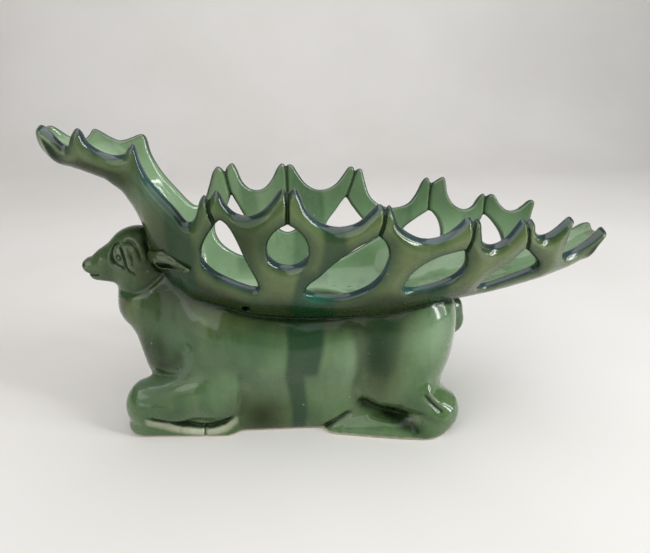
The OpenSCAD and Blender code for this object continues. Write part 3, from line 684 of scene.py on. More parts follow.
def casting(x, y, z, sink=None):
    """The whole casting: stag and antler basket run into each other with a soft fillet.
    Where two pieces overlap, one of them is sunk a little under the other."""
    b = basket(x, y, z)
    m = basket_mid(x, y, z)
    s = stag(x, y, z)
    d = smin(s, b, 6.0)
    meet = np.exp(-(((s - b) / 2.8) ** 2)) * np.clip(m / 2, 0, 1)
    d = d + 1.2 * meet
    d = np.maximum(d, -m - HALF)
    d = np.maximum(d, -np.maximum(hollow(x, y, z), HALF - m))
    if sink:
        q = np.minimum(m - HALF - 0.15, b - s)
        w = np.clip((0.5 - q) / 0.6, 0, 1)
        if sink == "body":
            w = np.maximum(w, np.clip((above_neck(x, y, z) + 0.6) / 0.8, 0, 1))
        d = d + 0.3 * w
    boss = np.maximum(np.sqrt((x + 45) ** 2 + (z - 16) ** 2) - 9.5, np.abs(y - 37.4) - 3.8)
    d = smin(d, boss, 1.0)
    d = np.maximum(d, np.where(y > 20, 5.8 - np.sqrt((x + 45) ** 2 + (z - 16) ** 2), -9))
    vent = np.sqrt((x - VENT_X) ** 2 + (z - VENT_Z) ** 2) - 2.6
    d = np.where((y < -8) & (z < 116) & (m > -2), smax(d, -vent, 1.2), d)
    # floor of the basket: light opening, screw holes and bracket seats
    k = np.sqrt(((x + 15) / 33) ** 2 + (y / 20) ** 2)
    d = smax(d, -np.maximum((k - 1) * 22, 70 - z), 2.5)
    for sx in (-59, 29):
        r = np.sqrt((x - sx) ** 2 + y * y)
        d = np.maximum(d, -np.maximum(r - 2.4, 70 - z))
        d = np.maximum(d, -np.maximum(r - 6.5, 91.2 - z))
        seat = np.maximum(np.maximum(np.abs(x - sx) - 10.5, np.abs(y) - 8.5), np.maximum(z - 85.6, 70 - z))
        d = np.maximum(d, -seat)
    return smax(d, -z, 1.2)


# ---------------------------------------------------------------- ears
def ears_field(x, y, z):
    a = np.abs(y)
    d = seg(x, a, z, (-134, 19, 141.4), (4.6, 4.0, 5.4), (-124, 30, 142.6), (7.4, 3.6, 6.8))
    d = smin(d, seg(x, a, z, (-124, 30, 142.4), (7.4, 3.4, 6.6), (-107, 43, 139.2), (2.0, 1.8, 1.9)), 3)
    inner = seg(x, a, z, (-125.5, 31.6, 139.8), (4.6, 3.0, 2.3), (-110.6, 43.4, 139.2), (2.2, 1.7, 1.0))
    d = smax(d, -inner, 1.2)
    d = d + groove(x, z, [(-129, 146), (-121, 145.6), (-113, 142.4)], 1.0, 0.7)
    return np.maximum(d, -basket_mid(x, y, z) - 0.2)


# ---------------------------------------------------------------- masks
def cavity(f, p, g, reach):
    """0 on open ground, up to 1 in creases."""
    v = field(f, p + g * reach)
    return np.clip(1 - v / reach, 0, 1)


def thin(f, p, g, reach):
    """0 on flat ground, up to 1 on sharp outside edges."""
    v = -field(f, p - g * reach)
    return np.clip(1 - v / reach, 0, 1)


def smooth_step(v, a, b):
    t = np.clip((v - a) / (b - a), 0, 1)
    return t * t * (3 - 2 * t)


def join(p):
    """Distance from the line where stag and basket meet, on the outside."""
    v = field(lambda x, y, z: stag(x, y, z) - basket(x, y, z), p)
    m = field(basket_mid, p)
    return np.abs(v), m


def drip_mask(p, rows, soft=5.0):
    """Glaze runs as (x, top z, bottom z, half width at the top, half width at the bottom, side)."""
    m = np.zeros(len(p))
    for x0, zt, zb, wt, wb, side in rows:
        t = np.clip((zt - p[:, 2]) / (zt - zb), 0, 1)
        w = wt + (wb - wt) * t
        dx = np.abs(p[:, 0] - x0 - 1.5 * np.sin(p[:, 2] * 0.09))
        v = smooth_step(w + soft * 0.5 - dx, 0, soft)
        v = v * smooth_step(zt + 6 - p[:, 2], 0, 9) * smooth_step(p[:, 2] - zb + 6, 0, 9)
        if side:
            v = v * (p[:, 1] * side > -6)
        m = np.maximum(m, v)
    return m


# ---------------------------------------------------------------- materials
class Nodes:
    """A small helper that builds one node material."""

    def __init__(self, name):
        self.mat = bpy.data.materials.new(name)
        self.mat.use_nodes = True
        self.t = self.mat.node_tree
        self.t.nodes.clear()
        self.out = self.t.nodes.new("ShaderNodeOutputMaterial")
        self.bsdf = self.t.nodes.new("ShaderNodeBsdfPrincipled")
        self.t.links.new(self.bsdf.outputs[0], self.out.inputs[0])
        self.co = self.t.nodes.new("ShaderNodeTexCoord").outputs["Object"]

    def new(self, kind, **kw):
        n = self.t.nodes.new(kind)
        for k, v in kw.items():
            setattr(n, k, v)
        return n

    def put(self, socket, value):
        if hasattr(value, "is_linked") or isinstance(value, bpy.types.NodeSocket):
            self.t.links.new(value, socket)
        else:
            socket.default_value = value

    def noise(self, scale, detail=3.0, rough=0.5, distort=0.0, stretch=None, w=0.0):
        co = self.co
        if stretch:
            m = self.new("ShaderNodeMapping")
            self.put(m.inputs["Vector"], co)
            m.inputs["Scale"].default_value = stretch
            co = m.outputs[0]
        n = self.new("ShaderNodeTexNoise", noise_dimensions="4D")
        self.put(n.inputs["Vector"], co)
        n.inputs["Scale"].default_value = scale
        n.inputs["Detail"].default_value = detail
        n.inputs["Roughness"].default_value = rough
        n.inputs["Distortion"].default_value = distort
        n.inputs["W"].default_value = w
        return n.outputs["Fac"]

    def voronoi(self, scale, feature="F1"):
        n = self.new("ShaderNodeTexVoronoi", feature=feature)
        self.put(n.inputs["Vector"], self.co)
        n.inputs["Scale"].default_value = scale
        return n.outputs["Distance"]

    def attr(self, name):
        n = self.new("ShaderNodeAttribute", attribute_name=name)
        return n.outputs["Fac"]

    def ramp(self, fac, lo, hi, a=0.0, b=1.0):
        n = self.new("ShaderNodeMapRange", interpolation_type="SMOOTHSTEP")
        self.put(n.inputs["Value"], fac)
        n.inputs["From Min"].default_value = lo
        n.inputs["From Max"].default_value = hi
        n.inputs["To Min"].default_value = a
        n.inputs["To Max"].default_value = b
        return n.outputs[0]

    def math(self, op, a, b=0.0, c=0.0):
        n = self.new("ShaderNodeMath", operation=op)
        self.put(n.inputs[0], a)
        self.put(n.inputs[1], b)
        self.put(n.inputs[2], c)
        return n.outputs[0]

    def mix(self, fac, a, b, blend="MIX"):
        n = self.new("ShaderNodeMix", data_type="RGBA", blend_type=blend)
        self.put(n.inputs[0], fac)
        self.put(n.inputs[6], a if not isinstance(a, tuple) else (*a, 1))
        self.put(n.inputs[7], b if not isinstance(b, tuple) else (*b, 1))
        return n.outputs[2]

    def bump(self, height, strength, distance, normal=None):
        n = self.new("ShaderNodeBump")
        self.put(n.inputs["Height"], height)
        n.inputs["Strength"].default_value = strength
        n.inputs["Distance"].default_value = distance
        if normal is not None:
            self.put(n.inputs["Normal"], normal)
        return n.outputs[0]

    def set(self, **kw):
        for k, v in kw.items():
            self.put(self.bsdf.inputs[k.replace("_", " ")], v if not (isinstance(v, tuple) and len(v) == 3) else (*v, 1))


# The glaze colours, with painted light laid into them: painted shade in creases, near the basket join and on downward
# faces, and painted highlights on branch middles, the foreleg ridge and broad body patches.
def glaze_material():
    n = Nodes("green_drip_glaze")
    rim, pooled_glaze_and_shade, drip_and_jaw_shade, pale = n.attr("rim"), n.attr("pooled_glaze_and_shade"), n.attr("drip_and_jaw_shade"), n.attr("pale")
    warm, foot, crest, teal = n.attr("warm"), n.attr("foot"), n.attr("crest"), n.attr("teal")
    painted_shade, cream = n.attr("painted_shade"), n.attr("cream")
    painted_branch_light, edge_pool_and_shade = n.attr("painted_branch_light"), n.attr("edge_pool_and_shade")
    big = n.noise(11, 3, 0.55, 0.4)
    mid = n.noise(42, 4, 0.6, 0.3, stretch=(1, 1, 0.45), w=3.0)
    fine = n.noise(260, 3, 0.6, 0.0, w=7.0)
    base = n.mix(n.ramp(big, 0.32, 0.68), (0.03, 0.085, 0.026), (0.085, 0.172, 0.062))
    base = n.mix(n.ramp(mid, 0.35, 0.72, 0, 0.5), base, (0.125, 0.2, 0.1))
    olive = n.mix(n.ramp(mid, 0.32, 0.68), (0.022, 0.038, 0.008), (0.088, 0.125, 0.036))
    base = n.mix(n.math("MULTIPLY", warm, n.ramp(big, 0.25, 0.7, 0.8, 1.0)), base, olive)
    # painted light on the antler branches: lighter olive along their middles; darker at their edges, partly pooled
    # glaze and partly painted shade
    base = n.mix(n.math("MULTIPLY", painted_branch_light, n.ramp(mid, 0.25, 0.7, 0.35, 0.75)), base, (0.125, 0.165, 0.058))
    base = n.mix(n.math("MULTIPLY", edge_pool_and_shade, n.ramp(mid, 0.25, 0.7, 0.35, 0.7)), base, (0.018, 0.04, 0.014))
    # lighter mint: inside the bowl, and painted reflections on the body and the foreleg ridge
    mint = n.mix(n.ramp(big, 0.3, 0.7), (0.15, 0.26, 0.135), (0.26, 0.39, 0.225))
    base = n.mix(n.math("MULTIPLY", pale, 0.95), base, mint)
    base = n.mix(cream, base, n.mix(n.ramp(mid, 0.3, 0.7), (0.27, 0.3, 0.18), (0.46, 0.5, 0.35)))
    streak = n.ramp(n.noise(60, 3, 0.6, 0.2, stretch=(1, 1, 0.18), w=11.0), 0.5, 0.78, 0, 0.45)
    base = n.mix(streak, base, (0.022, 0.07, 0.026))
    edge_blue = n.mix(n.ramp(mid, 0.3, 0.7), (0.008, 0.02, 0.023), (0.034, 0.064, 0.07))
    base = n.mix(n.math("MULTIPLY", crest, n.ramp(fine, 0.25, 0.6, 0.5, 0.95)), base, (0.145, 0.19, 0.105))
    rim_f = n.math("MULTIPLY", rim, n.ramp(mid, 0.25, 0.6, 0.75, 1.0))
    # colour of creases and grooves: glaze pooled there, and painted crease shade
    pool_and_shade_dark = n.mix(n.ramp(fine, 0.3, 0.7), (0.006, 0.014, 0.004), (0.011, 0.026, 0.008))
    # painted shade
    base = n.mix(n.math("MULTIPLY", painted_shade, n.ramp(mid, 0.25, 0.7, 0.6, 0.92)), base, (0.014, 0.024, 0.008))
    # darker green glaze runs, and painted shade under the jaw
    base = n.mix(n.math("MULTIPLY", drip_and_jaw_shade, n.ramp(mid, 0.25, 0.7, 0.75, 0.95)), base, (0.005, 0.036, 0.011))
    base = n.mix(rim_f, base, edge_blue)
    base = n.mix(teal, base, (0.012, 0.1, 0.062))
    # creases darkened: pooled glaze and painted crease shade
    base = n.mix(n.ramp(pooled_glaze_and_shade, 0.08, 0.95, 0, 0.95), base, pool_and_shade_dark)
    speck = n.ramp(n.voronoi(95), 0.05, 0.11, 1, 0)
    speck = n.math("MULTIPLY", speck, n.ramp(n.noise(18, 2, 0.5, w=21.0), 0.56, 0.66))
    base = n.mix(n.math("MULTIPLY", speck, 0.55), base, (0.3, 0.32, 0.2))
    pin = n.math("MULTIPLY", n.ramp(n.voronoi(240), 0.06, 0.12, 1, 0), n.ramp(n.noise(30, 2, 0.5, w=31.0), 0.58, 0.66))
    base = n.mix(n.math("MULTIPLY", pin, 0.6), base, (0.04, 0.03, 0.01))
    bisque = n.mix(n.ramp(fine, 0.3, 0.7), (0.42, 0.36, 0.26), (0.6, 0.53, 0.4))
    colour = n.mix(foot, base, bisque)
    rough = n.math("ADD", n.ramp(fine, 0.3, 0.7, 0.2, 0.32), n.math("MULTIPLY", foot, 0.5))
    # the clear coat is left off the bisque foot and dimmed where crease shade and painted shade lie, painting shade
    # into its reflections
    coat = n.math("SUBTRACT", 1.0, n.math("MAXIMUM", foot, n.math("MAXIMUM", n.math("MULTIPLY", pooled_glaze_and_shade, 0.85), n.math("MULTIPLY", painted_shade, 0.75))))
    wave = n.bump(n.noise(30, 2, 0.4, w=5.0), 0.16, 0.0012)
    skin = n.bump(n.noise(420, 2, 0.5, w=9.0), 0.05, 0.0004, wave)
    n.set(Base_Color=colour, Roughness=rough, Coat_Weight=n.math("MULTIPLY", coat, 0.8), Coat_Roughness=0.11, Coat_IOR=1.5, Normal=skin, Coat_Normal=wave, Specular_IOR_Level=0.12)
    return n.mat


def metal_material(name, low, high, rough=(0.24, 0.42), brushed=None, bump=0.04):
    n = Nodes(name)
    a = n.noise(120, 4, 0.6, stretch=brushed or (1, 1, 1))
    b = n.noise(900, 2, 0.5, stretch=brushed or (1, 1, 1), w=4.0)
    colour = n.mix(n.ramp(a, 0.35, 0.7), low, high)
    tarnish = n.ramp(n.noise(260, 3, 0.7, w=8.0), 0.62, 0.74)
    colour = n.mix(n.math("MULTIPLY", tarnish, 0.5), colour, tuple(v * 0.35 for v in low))
    n.set(Base_Color=colour, Metallic=1.0, Roughness=n.ramp(b, 0.3, 0.7, *rough), Normal=n.bump(b, bump * 6, 0.00006))
    return n.mat


def plain_material(name, low, high, rough, scale=180, bump=0.1, **kw):
    n = Nodes(name)
    a = n.noise(scale, 4, 0.6)
    b = n.noise(scale * 6, 3, 0.6, w=5.0)
    n.set(Base_Color=n.mix(n.ramp(a, 0.3, 0.7), low, high), Roughness=n.ramp(b, 0.3, 0.7, *rough), Normal=n.bump(b, bump, 0.0001), **kw)
    return n.mat


def glass_material():
    n = Nodes("bulb_frosted_glass")
    a = n.noise(300, 3, 0.5)
    n.set(
        Base_Color=n.mix(n.ramp(a, 0.3, 0.7), (0.86, 0.86, 0.82), (0.95, 0.95, 0.92)),
        Roughness=n.ramp(a, 0.3, 0.7, 0.12, 0.3),
        Transmission_Weight=0.75,
        IOR=1.5,
        Normal=n.bump(a, 0.05, 0.0001),
    )
    return n.mat


def floor_material():
    n = Nodes("studio_floor")
    a = n.noise(3, 3, 0.5)
    n.set(Base_Color=n.mix(n.ramp(a, 0.3, 0.7), (0.70, 0.68, 0.655), (0.74, 0.72, 0.70)), Roughness=n.ramp(a, 0.3, 0.7, 0.55, 0.65))
    return n.mat


GLAZE = glaze_material()


def line_mask(x, z, pts, width):
    d, t = line2(x.astype(F), z.astype(F), pts)
    return np.exp(-((d / width) ** 2)) * np.clip(6 * np.minimum(t, 1 - t) + 0.35, 0, 1)


def bump2(x, z, cx, cz, rx, rz):
    return np.exp(-(((x - cx) / rx) ** 2 + ((z - cz) / rz) ** 2))


def vertex_masks(p, g, kind):
    """Glaze masks and painted light masks for one ceramic piece; p in mm, g outward normals."""
    x, y, z = p[:, 0], p[:, 1], p[:, 2]
    # darkening in creases, grooves and where stag and basket meet: glaze pooled there, and painted shade; the wide
    # reach is painted shade
    pooled_glaze_and_shade = cavity(casting, p, g, 4.0)
    broad_cavity_shade = cavity(casting, p, g, 12.0)
    pooled_glaze_and_shade = np.clip(smooth_step(pooled_glaze_and_shade, 0.12, 0.75) + 0.5 * smooth_step(broad_cavity_shade, 0.2, 0.8), 0, 1)
    gap, mm = join(p)
    crease = np.exp(-((gap / 1.8) ** 2)) * smooth_step(mm, 1, 4)
    near_join = np.exp(-((gap / 18.0) ** 2)) * smooth_step(mm, 1, 4)
    pooled_glaze_and_shade = np.maximum(pooled_glaze_and_shade, 0.9 * crease)
    own = basket if kind == "basket" else stag
    crest = smooth_step(thin(own, p, g, 3.0), 0.06, 0.4) * (1 - np.exp(-((gap / 16.0) ** 2)))
    under_edge = np.exp(-((gap / 8.0) ** 2)) * smooth_step(mm, 1, 4)
    zero = np.zeros(len(p))
    # painted shade on faces turned downward
    painted_shade = 0.5 * smooth_step(-g[:, 2], 0.05, 0.85)
    m = {"pooled_glaze_and_shade": pooled_glaze_and_shade, "crest": crest, "rim": zero, "drip_and_jaw_shade": zero, "pale": zero, "warm": zero, "foot": zero, "teal": zero, "painted_shade": painted_shade}
    side = smooth_step(np.abs(y), 12, 20)
    near = y < 0
    if kind == "basket":
        e = edge(x.astype(F), y.astype(F), z.astype(F)).astype(float)
        mid, gm = gradient(basket_mid, p, 0.4)
        gm /= np.maximum(np.linalg.norm(gm, axis=1), 1e-9)[:, None]
        facing = (g * gm).sum(1)
        inner = smooth_step(-mid, 0.2, 2.4)
        turn = 1 - np.abs(facing)
        rim = smooth_step(turn, 0.1, 0.45) * smooth_step(e, -4.5, -1.0)
        up = smooth_step(g[:, 2], -0.35, 0.2)
        m["rim"] = np.clip(rim * up, 0, 1)
        m["pale"] = inner * (1 - 0.6 * rim) * (1 - 0.4 * smooth_step(x, -20, 30) * smooth_step(z, 132, 112))
        out = 1 - inner
        m["pale"] = m["pale"] * np.where(near, 1.0, 0.5 + 0.5 * np.maximum(smooth_step(-x, 100, 112), smooth_step(z, 168, 140)))
        # painted shade on the lips that face down
        m["pooled_glaze_and_shade"] = np.maximum(m["pooled_glaze_and_shade"] * (1 - 0.7 * rim * up), 0.75 * rim * (1 - up))
        # painted light on the branches: lighter middles; darker edges by the openings, partly pooled glaze, and darker
        # still where they face down as painted shade
        painted_branch_light = smooth_step(-e, 3.0, 8.5) * smooth_step(z, 110, 132)
        m["painted_branch_light"] = out * painted_branch_light
        m["edge_pool_and_shade"] = out * smooth_step(e, -5.0, -1.2) * (1 - m["rim"]) * (0.35 + 0.65 * smooth_step(-g[:, 2], -0.1, 0.5))
        front = smooth_step(-x, 90, 130)
        m["warm"] = out * np.clip(0.55 + 0.35 * smooth_step(x, -20, 120) + 0.3 * front, 0, 1)
        m["warm"] = np.maximum(m["warm"], (~near) * inner * 0.55)
        # painted shade near the join with the stag, on downward faces and the undersides of the front scoop, and in
        # listed dark patches
        under = smooth_step(-g[:, 2], 0.15, 0.7) * smooth_step(-x, 96, 120)
        m["painted_shade"] = out * np.clip(0.85 * near_join + 0.6 * painted_shade + 0.75 * under + 0.85 * bump2(x, z, -118, 158, 18, 30) + 0.6 * bump2(x, z, -104, 118, 22, 18) + 0.9 * bump2(x, z, -66, 164, 17, 20) + 0.6 * bump2(x, z, 30, 118, 34, 9) + 0.85 * bump2(x, z, -156, 198, 24, 8) + 0.5 * bump2(x, z, -40, 110, 40, 9) + 0.4 * bump2(x, z, 8, 146, 18, 14), 0, 1)
        m["drip_and_jaw_shade"] = drip_mask(p, [(-22, 140, 94, 10, 17, -1), (-10, 178, 128, 6, 11, -1), (66, 132, 104, 7, 8, -1), (-112, 176, 120, 8, 12, -1), (-30, 130, 96, 12, 14, 1), (40, 150, 104, 7, 9, 1)]) * 0.9 * out
        m["drip_and_jaw_shade"] = np.maximum(m["drip_and_jaw_shade"], 0.35 * inner * drip_mask(p, [(-20, 185, 100, 9, 14, 1), (60, 175, 110, 6, 9, 1), (-70, 190, 110, 5, 9, 1)]))
        m["teal"] = 0.85 * bump2(x, z, -20, 118.5, 10, 5.5) * near * out + 0.5 * rim * bump2(x, z, 46, 125, 12, 6) + 0.35 * bump2(x, z, -128, 190, 16, 16) * near
        m["pooled_glaze_and_shade"] = np.clip(m["pooled_glaze_and_shade"] * (1 - 0.8 * m["pale"]), 0, 1)
        for pts in SEAMS_NEAR:
            m["pooled_glaze_and_shade"] = np.maximum(m["pooled_glaze_and_shade"], near * 0.95 * line_mask(x, z, pts, 1.3))
        for pts in SEAMS_FAR:
            m["pooled_glaze_and_shade"] = np.maximum(m["pooled_glaze_and_shade"], (~near) * 0.8 * line_mask(x, z, pts, 1.1))
        tips = smooth_step(z, 196, 222) * (x < -120) + 0.6 * smooth_step(x, 150, 190)
        m["crest"] = np.clip(m["crest"] + 0.3 * tips, 0, 1)
        m["foot"] = np.where(field(hollow, p) < -1.0, smooth_step(facing, 0.5, 0.8) * smooth_step(mid, 2.0, 3.4), 0) * (z < 112)
    elif kind == "body":
        d = drip_mask(p, [(-29, 98, 54, 14, 12, -1), (-34, 62, -4, 7.5, 5, -1), (-30, 98, 30, 12, 8, 1)])
        d2 = drip_mask(p, [(28, 100, 56, 12, 9, 0)], 9) * 0.6
        m["drip_and_jaw_shade"] = np.maximum(d, d2)
        m["warm"] = np.clip(0.9 * bump2(x, z, -60, 16, 22, 24) + 0.75 * smooth_step(z, 82, 104) * smooth_step(x, 56, 30) + 0.6 * bump2(x, z, 26, 56, 16, 30) + 0.3, 0, 1)
        line = np.interp(x, [v[0] for v in HOOF_LINE], [v[1] for v in HOOF_LINE])
        hoof = smooth_step(line - z, 0.4, 2.0) * smooth_step(z - line, -9.0, -5.5) * smooth_step(x, -151, -147) * smooth_step(-x, 79, 82) * side
        hoof2 = smooth_step(9 - z, 0, 4) * (x > 0) * (x < 60) * side
        # broad pale patches on the belly, haunch, rump and neck are painted reflections; a faint pale band runs low on
        # the hind foot
        m["pale"] = np.clip(0.2 * hoof2 + 0.5 * bump2(x, z, 6, 62, 15, 22) + 0.6 * bump2(x, z, 66, 90, 22, 20) + 0.3 * bump2(x, z, -60, 52, 40, 26) + 0.25 * bump2(x, z, -128, 92, 20, 20), 0, 1)
        m["cream"] = 0.95 * hoof
        inside = smooth_step(-field(hollow, p), -1.2, 0.0)
        m["foot"] = np.clip(smooth_step(2.1 - z, 0, 0.8) + inside, 0, 1)
        # dark lines in the pressed grooves: glaze pooled there, and painted crease shade
        pool_and_shade_dark = 0
        for pts, w, a in ((HOOF_LINE, 2.0, 1.0), (SHANK_LINE, 5.0, 0.9), (HOCK_SLIT, 1.3, 0.95), (FOOT_LINE, 1.9, 0.85), (ARM_FOLD, 7.0, 0.4), (ARM_FOLD_2, 3.0, 0.3), ([(-105.5, 10), (-105.6, 4), (-105.8, -3)], 1.2, 0.9), (HAUNCH_EDGE, 5.0, 0.4), (LEG_BACK, 3.5, 0.35)):
            pool_and_shade_dark = np.maximum(pool_and_shade_dark, a * line_mask(x, z, pts, w) * side)
        m["pooled_glaze_and_shade"] = np.maximum(m["pooled_glaze_and_shade"], pool_and_shade_dark)
        # painted shade: downward faces, listed dark patches on the neck, belly and haunch, a band under the basket, and
        # near the join
        m["painted_shade"] = np.clip(painted_shade + 0.95 * bump2(x, z, -142, 68, 20, 20) + bump2(x, z, -62, 16, 20, 20) + bump2(x, z, 24, 70, 12, 28) + 0.4 * bump2(x, z, -10, 92, 60, 9) + 0.25 * near_join + 0.6 * under_edge * smooth_step(66 - x, 0, 20), 0, 1)
        # painted highlight along the foreleg ridge and ledge, in blue-grey and pale mint
        lip = np.maximum(line_mask(x, z, ARM_RIDGE, 3.2), 0.7 * line_mask(x, z, ARM_LEDGE, 1.8))
        m["rim"] = np.clip(0.3 * lip, 0, 1) * side
        m["pale"] = np.maximum(m["pale"], 0.45 * lip * side)
        m["pooled_glaze_and_shade"] = np.where(m["foot"] > 0.5, 0, m["pooled_glaze_and_shade"] * (1 - 0.8 * m["rim"]))
    else:
        m["warm"] = np.clip(0.45 + 0.5 * smooth_step(x, -160, -140), 0, 1)
        # the head darker all over besides the painted shade on downward faces; painted shade under the jaw and the
        # muzzle
        m["painted_shade"] = np.clip(painted_shade + 0.35, 0, 1)
        m["drip_and_jaw_shade"] = 0.5 * smooth_step(z, 124, 114) + 0.4 * bump2(x, z, -170, 126, 7, 5)
        out = np.clip((np.abs(y) - 7) / 3, 0, 1)
        ex, ez = turned(x, z, EYE[0], EYE[2], -62)
        almond = np.sqrt((ex / 9.4) ** 2 + (ez / 4.4) ** 2) - 1
        pupil = np.exp(-(((np.sqrt((ex - 1.4) ** 2 + (ez + 0.2) ** 2) - 1.7) / 0.8) ** 2))
        if kind == "head":
            m["pooled_glaze_and_shade"] = np.maximum(m["pooled_glaze_and_shade"] * 0.7, out * 0.95 * pupil)
            m["pooled_glaze_and_shade"] = np.maximum(m["pooled_glaze_and_shade"], 0.98 * out * np.maximum(line_mask(x, z, EYE_LINE, 1.2), line_mask(x, z, EYE_BACK, 0.95)))
            for c in CURLS:
                m["pooled_glaze_and_shade"] = np.maximum(m["pooled_glaze_and_shade"], 0.7 * line_mask(x, z, c, 0.9) * out)
            m["crest"] = np.maximum(m["crest"], 0.9 * out * smooth_step(-almond, 0.05, 0.35) * (1 - pupil))
            m["crest"] = np.maximum(m["crest"], 0.95 * out * line_mask(x, z, LID, 2.6))
            for c in LOCKS:
                m["crest"] = np.maximum(m["crest"], 0.75 * out * line_mask(x, z, c, 2.2))
            m["crest"] = np.maximum(m["crest"], 0.6 * smooth_step(-x, 176, 184) * smooth_step(z, 124, 130))
            # painted shadow on the back of the head under the antler scoop, and painted shade near the join
            m["painted_shade"] = np.clip(m["painted_shade"] + 0.75 * smooth_step(x, -146, -134) * smooth_step(z, 134, 146) + 0.3 * near_join, 0, 1)
        else:
            inner = -field(lambda x, y, z: seg(x, np.abs(y), z, (-125.5, 31.6, 139.8), (5.6, 4.0, 3.3), (-110.6, 43.4, 139.2), (3.2, 2.7, 2.0)), p)
            m["pooled_glaze_and_shade"] = np.maximum(m["pooled_glaze_and_shade"], 0.6 * line_mask(x, z, [(-128, 140), (-120, 140), (-112, 139.2)], 1.1))
            m["crest"] = np.maximum(0.6 * m["crest"], 0.35 * smooth_step(inner, -1.4, 0.4))
            m["warm"] = zero + 0.95
            # the ears darker all over, besides the painted shade on downward faces
            m["painted_shade"] = np.clip(painted_shade + 0.4, 0, 1)
    return m


def ceramic(name, f, lo, hi, h, kind, node, keep=None):
    p, q, g = build(name, f, lo, hi, h, keep)
    o = to_object(name, p, q, g, vertex_masks(p, g, kind), GLAZE)
    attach(o, "lamp")
    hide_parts(node)
    print("piece", name, len(p), "points", len(q) * 2, "triangles")
    return o


def zone(c):
    """Below 1 over the basket's floor."""
    return ((c[:, 0] + 12) / 95) ** 2 + (c[:, 1] / 22.8) ** 2


def side_of(c):
    """Below 0 on the basket, above 0 on the stag."""
    m = field(basket_mid, c)
    v = field(lambda x, y, z: basket(x, y, z) - stag(x, y, z), c)
    return np.minimum(m - HALF - 0.15, v)


LAP = 0.45
ceramic(
    "near_antler_wall", casting, (-206, -70, 83), (206, 3, 233), 1.0, "basket", "near_antler",
    keep=lambda c: (c[:, 1] < 0.2) & (zone(c) > 0.99) & (side_of(c) < LAP),
)
ceramic(
    "far_antler_wall", casting, (-206, -3, 83), (206, 70, 233), 1.0, "basket", "far_antler",
    keep=lambda c: (c[:, 1] > -0.2) & (zone(c) > 0.99) & (side_of(c) < LAP),
)
ceramic(
    "basket_floor", casting, (-110, -26, 81), (86, 26, 112), 1.0, "basket", "bowl_floor",
    keep=lambda c: (zone(c) < 1.01) & (side_of(c) < LAP),
)
ceramic(
    "stag_body", lambda x, y, z: casting(x, y, z, "body"), (-176, -64, -2), (108, 64, 152), 1.45, "body", "deer_body",
    keep=lambda c: (above_neck(c[:, 0], c[:, 1], c[:, 2]) < 0.6) & (side_of(c) > -LAP),
)
ceramic(
    "stag_head", lambda x, y, z: casting(x, y, z, "head"), (-196, -28, 104), (-104, 28, 166), 0.8, "head", "deer_head",
    keep=lambda c: (above_neck(c[:, 0], c[:, 1], c[:, 2]) > -0.6) & (side_of(c) > -LAP),
)
ceramic("stag_ears", ears_field, (-146, -50, 128), (-100, 50, 158), 0.7, "ears", "ears")

# ---------------------------------------------------------------- lamp fittings
BRASS = metal_material("aged_brass", (0.42, 0.27, 0.09), (0.72, 0.52, 0.22), (0.22, 0.45))
STEEL = metal_material("zinc_steel", (0.34, 0.35, 0.36), (0.58, 0.59, 0.6), (0.3, 0.5), brushed=(1, 8, 8))
COPPER = metal_material("spring_bronze", (0.45, 0.22, 0.1), (0.7, 0.4, 0.2))
FIBRE = plain_material("red_fibre", (0.16, 0.035, 0.02), (0.28, 0.07, 0.04), (0.6, 0.8), 400, 0.4)
LINER = plain_material("waxed_card", (0.1, 0.06, 0.03), (0.2, 0.13, 0.07), (0.6, 0.85), 300, 0.4)
PHENOLIC = plain_material("phenolic", (0.018, 0.011, 0.008), (0.05, 0.03, 0.02), (0.25, 0.4), 240, 0.1)
RUBBER = plain_material("black_rubber", (0.012, 0.012, 0.012), (0.03, 0.03, 0.03), (0.5, 0.7), 300, 0.25)
MOUNT = plain_material("glass_stem", (0.5, 0.5, 0.46), (0.7, 0.7, 0.66), (0.1, 0.25), 300, 0.05)
GLASS = glass_material()
FINISH = {
    "strap_bracket": STEEL, "bracket_nuts": STEEL, "bracket_screws": BRASS, "fibre_washers": FIBRE,
    "threaded_nipple": BRASS, "lock_nuts": BRASS, "socket_cap": BRASS, "socket_shell": BRASS,
    "insulating_liner": LINER, "socket_interior": PHENOLIC, "screw_shell": COPPER, "centre_contact": COPPER,
    "terminal_screws": BRASS, "turn_key": BRASS, "bulb_base": BRASS, "bulb_glass": GLASS,
    "bulb_filament": MOUNT, "cord_grommet": RUBBER,
}
for node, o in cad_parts.items():
    mat = FINISH.get(node, GLAZE)
    for s in o.material_slots:
        s.material = mat
    if not o.material_slots:
        o.data.materials.append(mat)

# ---------------------------------------------------------------- studio
bpy.ops.mesh.primitive_plane_add(size=1)
floor = bpy.context.object
floor.name = "studio_sweep"
me = floor.data
me.clear_geometry()
rows = [(-3.0, 0.0), (1.0, 0.0)]
for i in range(1, 13):
    a = i / 12 * math.pi / 2
    rows.append((1.0 + 0.6 * math.sin(a), 0.6 - 0.6 * math.cos(a)))
rows.append((1.6, 3.0))
verts = [(x, y, z) for y, z in rows for x in (-4.0, 4.0)]
me.from_pydata(verts, [], [(2 * i, 2 * i + 1, 2 * i + 3, 2 * i + 2) for i in range(len(rows) - 1)])
for poly in me.polygons:
    poly.use_smooth = True
me.materials.append(floor_material())

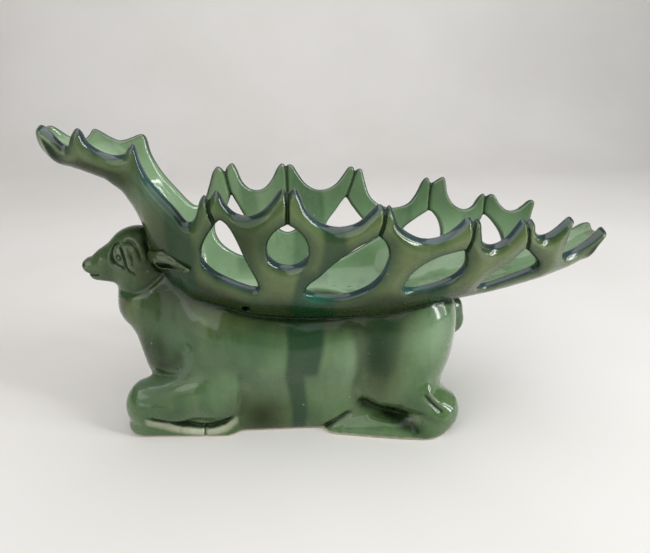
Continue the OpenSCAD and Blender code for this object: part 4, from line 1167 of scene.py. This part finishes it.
cam = bpy.data.cameras.new("camera")
camera = bpy.data.objects.new("camera", cam)
bpy.context.scene.collection.objects.link(camera)
pitch, yaw, roll = math.radians(22.10), math.radians(4.48), math.radians(0.30)
fwd = Vector((math.sin(yaw) * math.cos(pitch), math.cos(yaw) * math.cos(pitch), -math.sin(pitch)))
right = Vector((math.cos(yaw), -math.sin(yaw), 0))
up = right.cross(fwd)
r2 = right * math.cos(roll) + up * math.sin(roll)
u2 = -right * math.sin(roll) + up * math.cos(roll)
camera.matrix_world = Matrix(
    (
        (r2.x, u2.x, -fwd.x, -0.0404),
        (r2.y, u2.y, -fwd.y, -0.3824),
        (r2.z, u2.z, -fwd.z, 0.2705),
        (0, 0, 0, 1),
    )
)
cam.sensor_width = 36
cam.sensor_fit = "HORIZONTAL"
cam.lens = 531.8 / 650 * 36
cam.clip_start = 0.01
cam.clip_end = 20
cam.dof.use_dof = False
bpy.context.scene.camera = camera


def area(name, place, target, size, power, colour=(1, 1, 1)):
    d = bpy.data.lights.new(name, "AREA")
    d.shape = "RECTANGLE"
    d.size, d.size_y = size
    d.energy = power
    d.color = colour
    o = bpy.data.objects.new(name, d)
    o.location = place
    o.rotation_euler = (Vector(target) - Vector(place)).to_track_quat("-Z", "Y").to_euler()
    bpy.context.scene.collection.objects.link(o)
    return o


area("key_window", (-1.1, -1.3, 1.6), (0, 0, 0.1), (2.2, 2.2), 28, (1.0, 0.99, 0.97))
area("left_window", (-1.25, -0.95, 0.42), (-0.1, 0, 0.1), (0.8, 0.9), 2.3, (0.95, 0.99, 1.0))
area("top_soft", (0.1, 0.1, 1.7), (0, 0, 0.1), (1.8, 1.4), 16.5, (1.0, 1.0, 1.0))
area("right_window", (1.3, -0.7, 0.75), (0.05, 0, 0.1), (0.16, 1.3), 15, (0.97, 0.99, 1.0))
area("right_window_2", (1.42, -0.42, 0.75), (0.05, 0, 0.1), (0.08, 1.3), 7, (0.97, 0.99, 1.0))
area("front_fill", (0.1, -2.4, 0.75), (0, 0, 0.2), (2.6, 1.5), 3, (1.0, 1.0, 1.0))

world = bpy.data.worlds.new("studio_world")
bpy.context.scene.world = world
world.use_nodes = True
world.node_tree.nodes["Background"].inputs[0].default_value = (0.86, 0.88, 0.9, 1)
world.node_tree.nodes["Background"].inputs[1].default_value = 0.1
bpy.context.scene.view_settings.view_transform = "Standard"
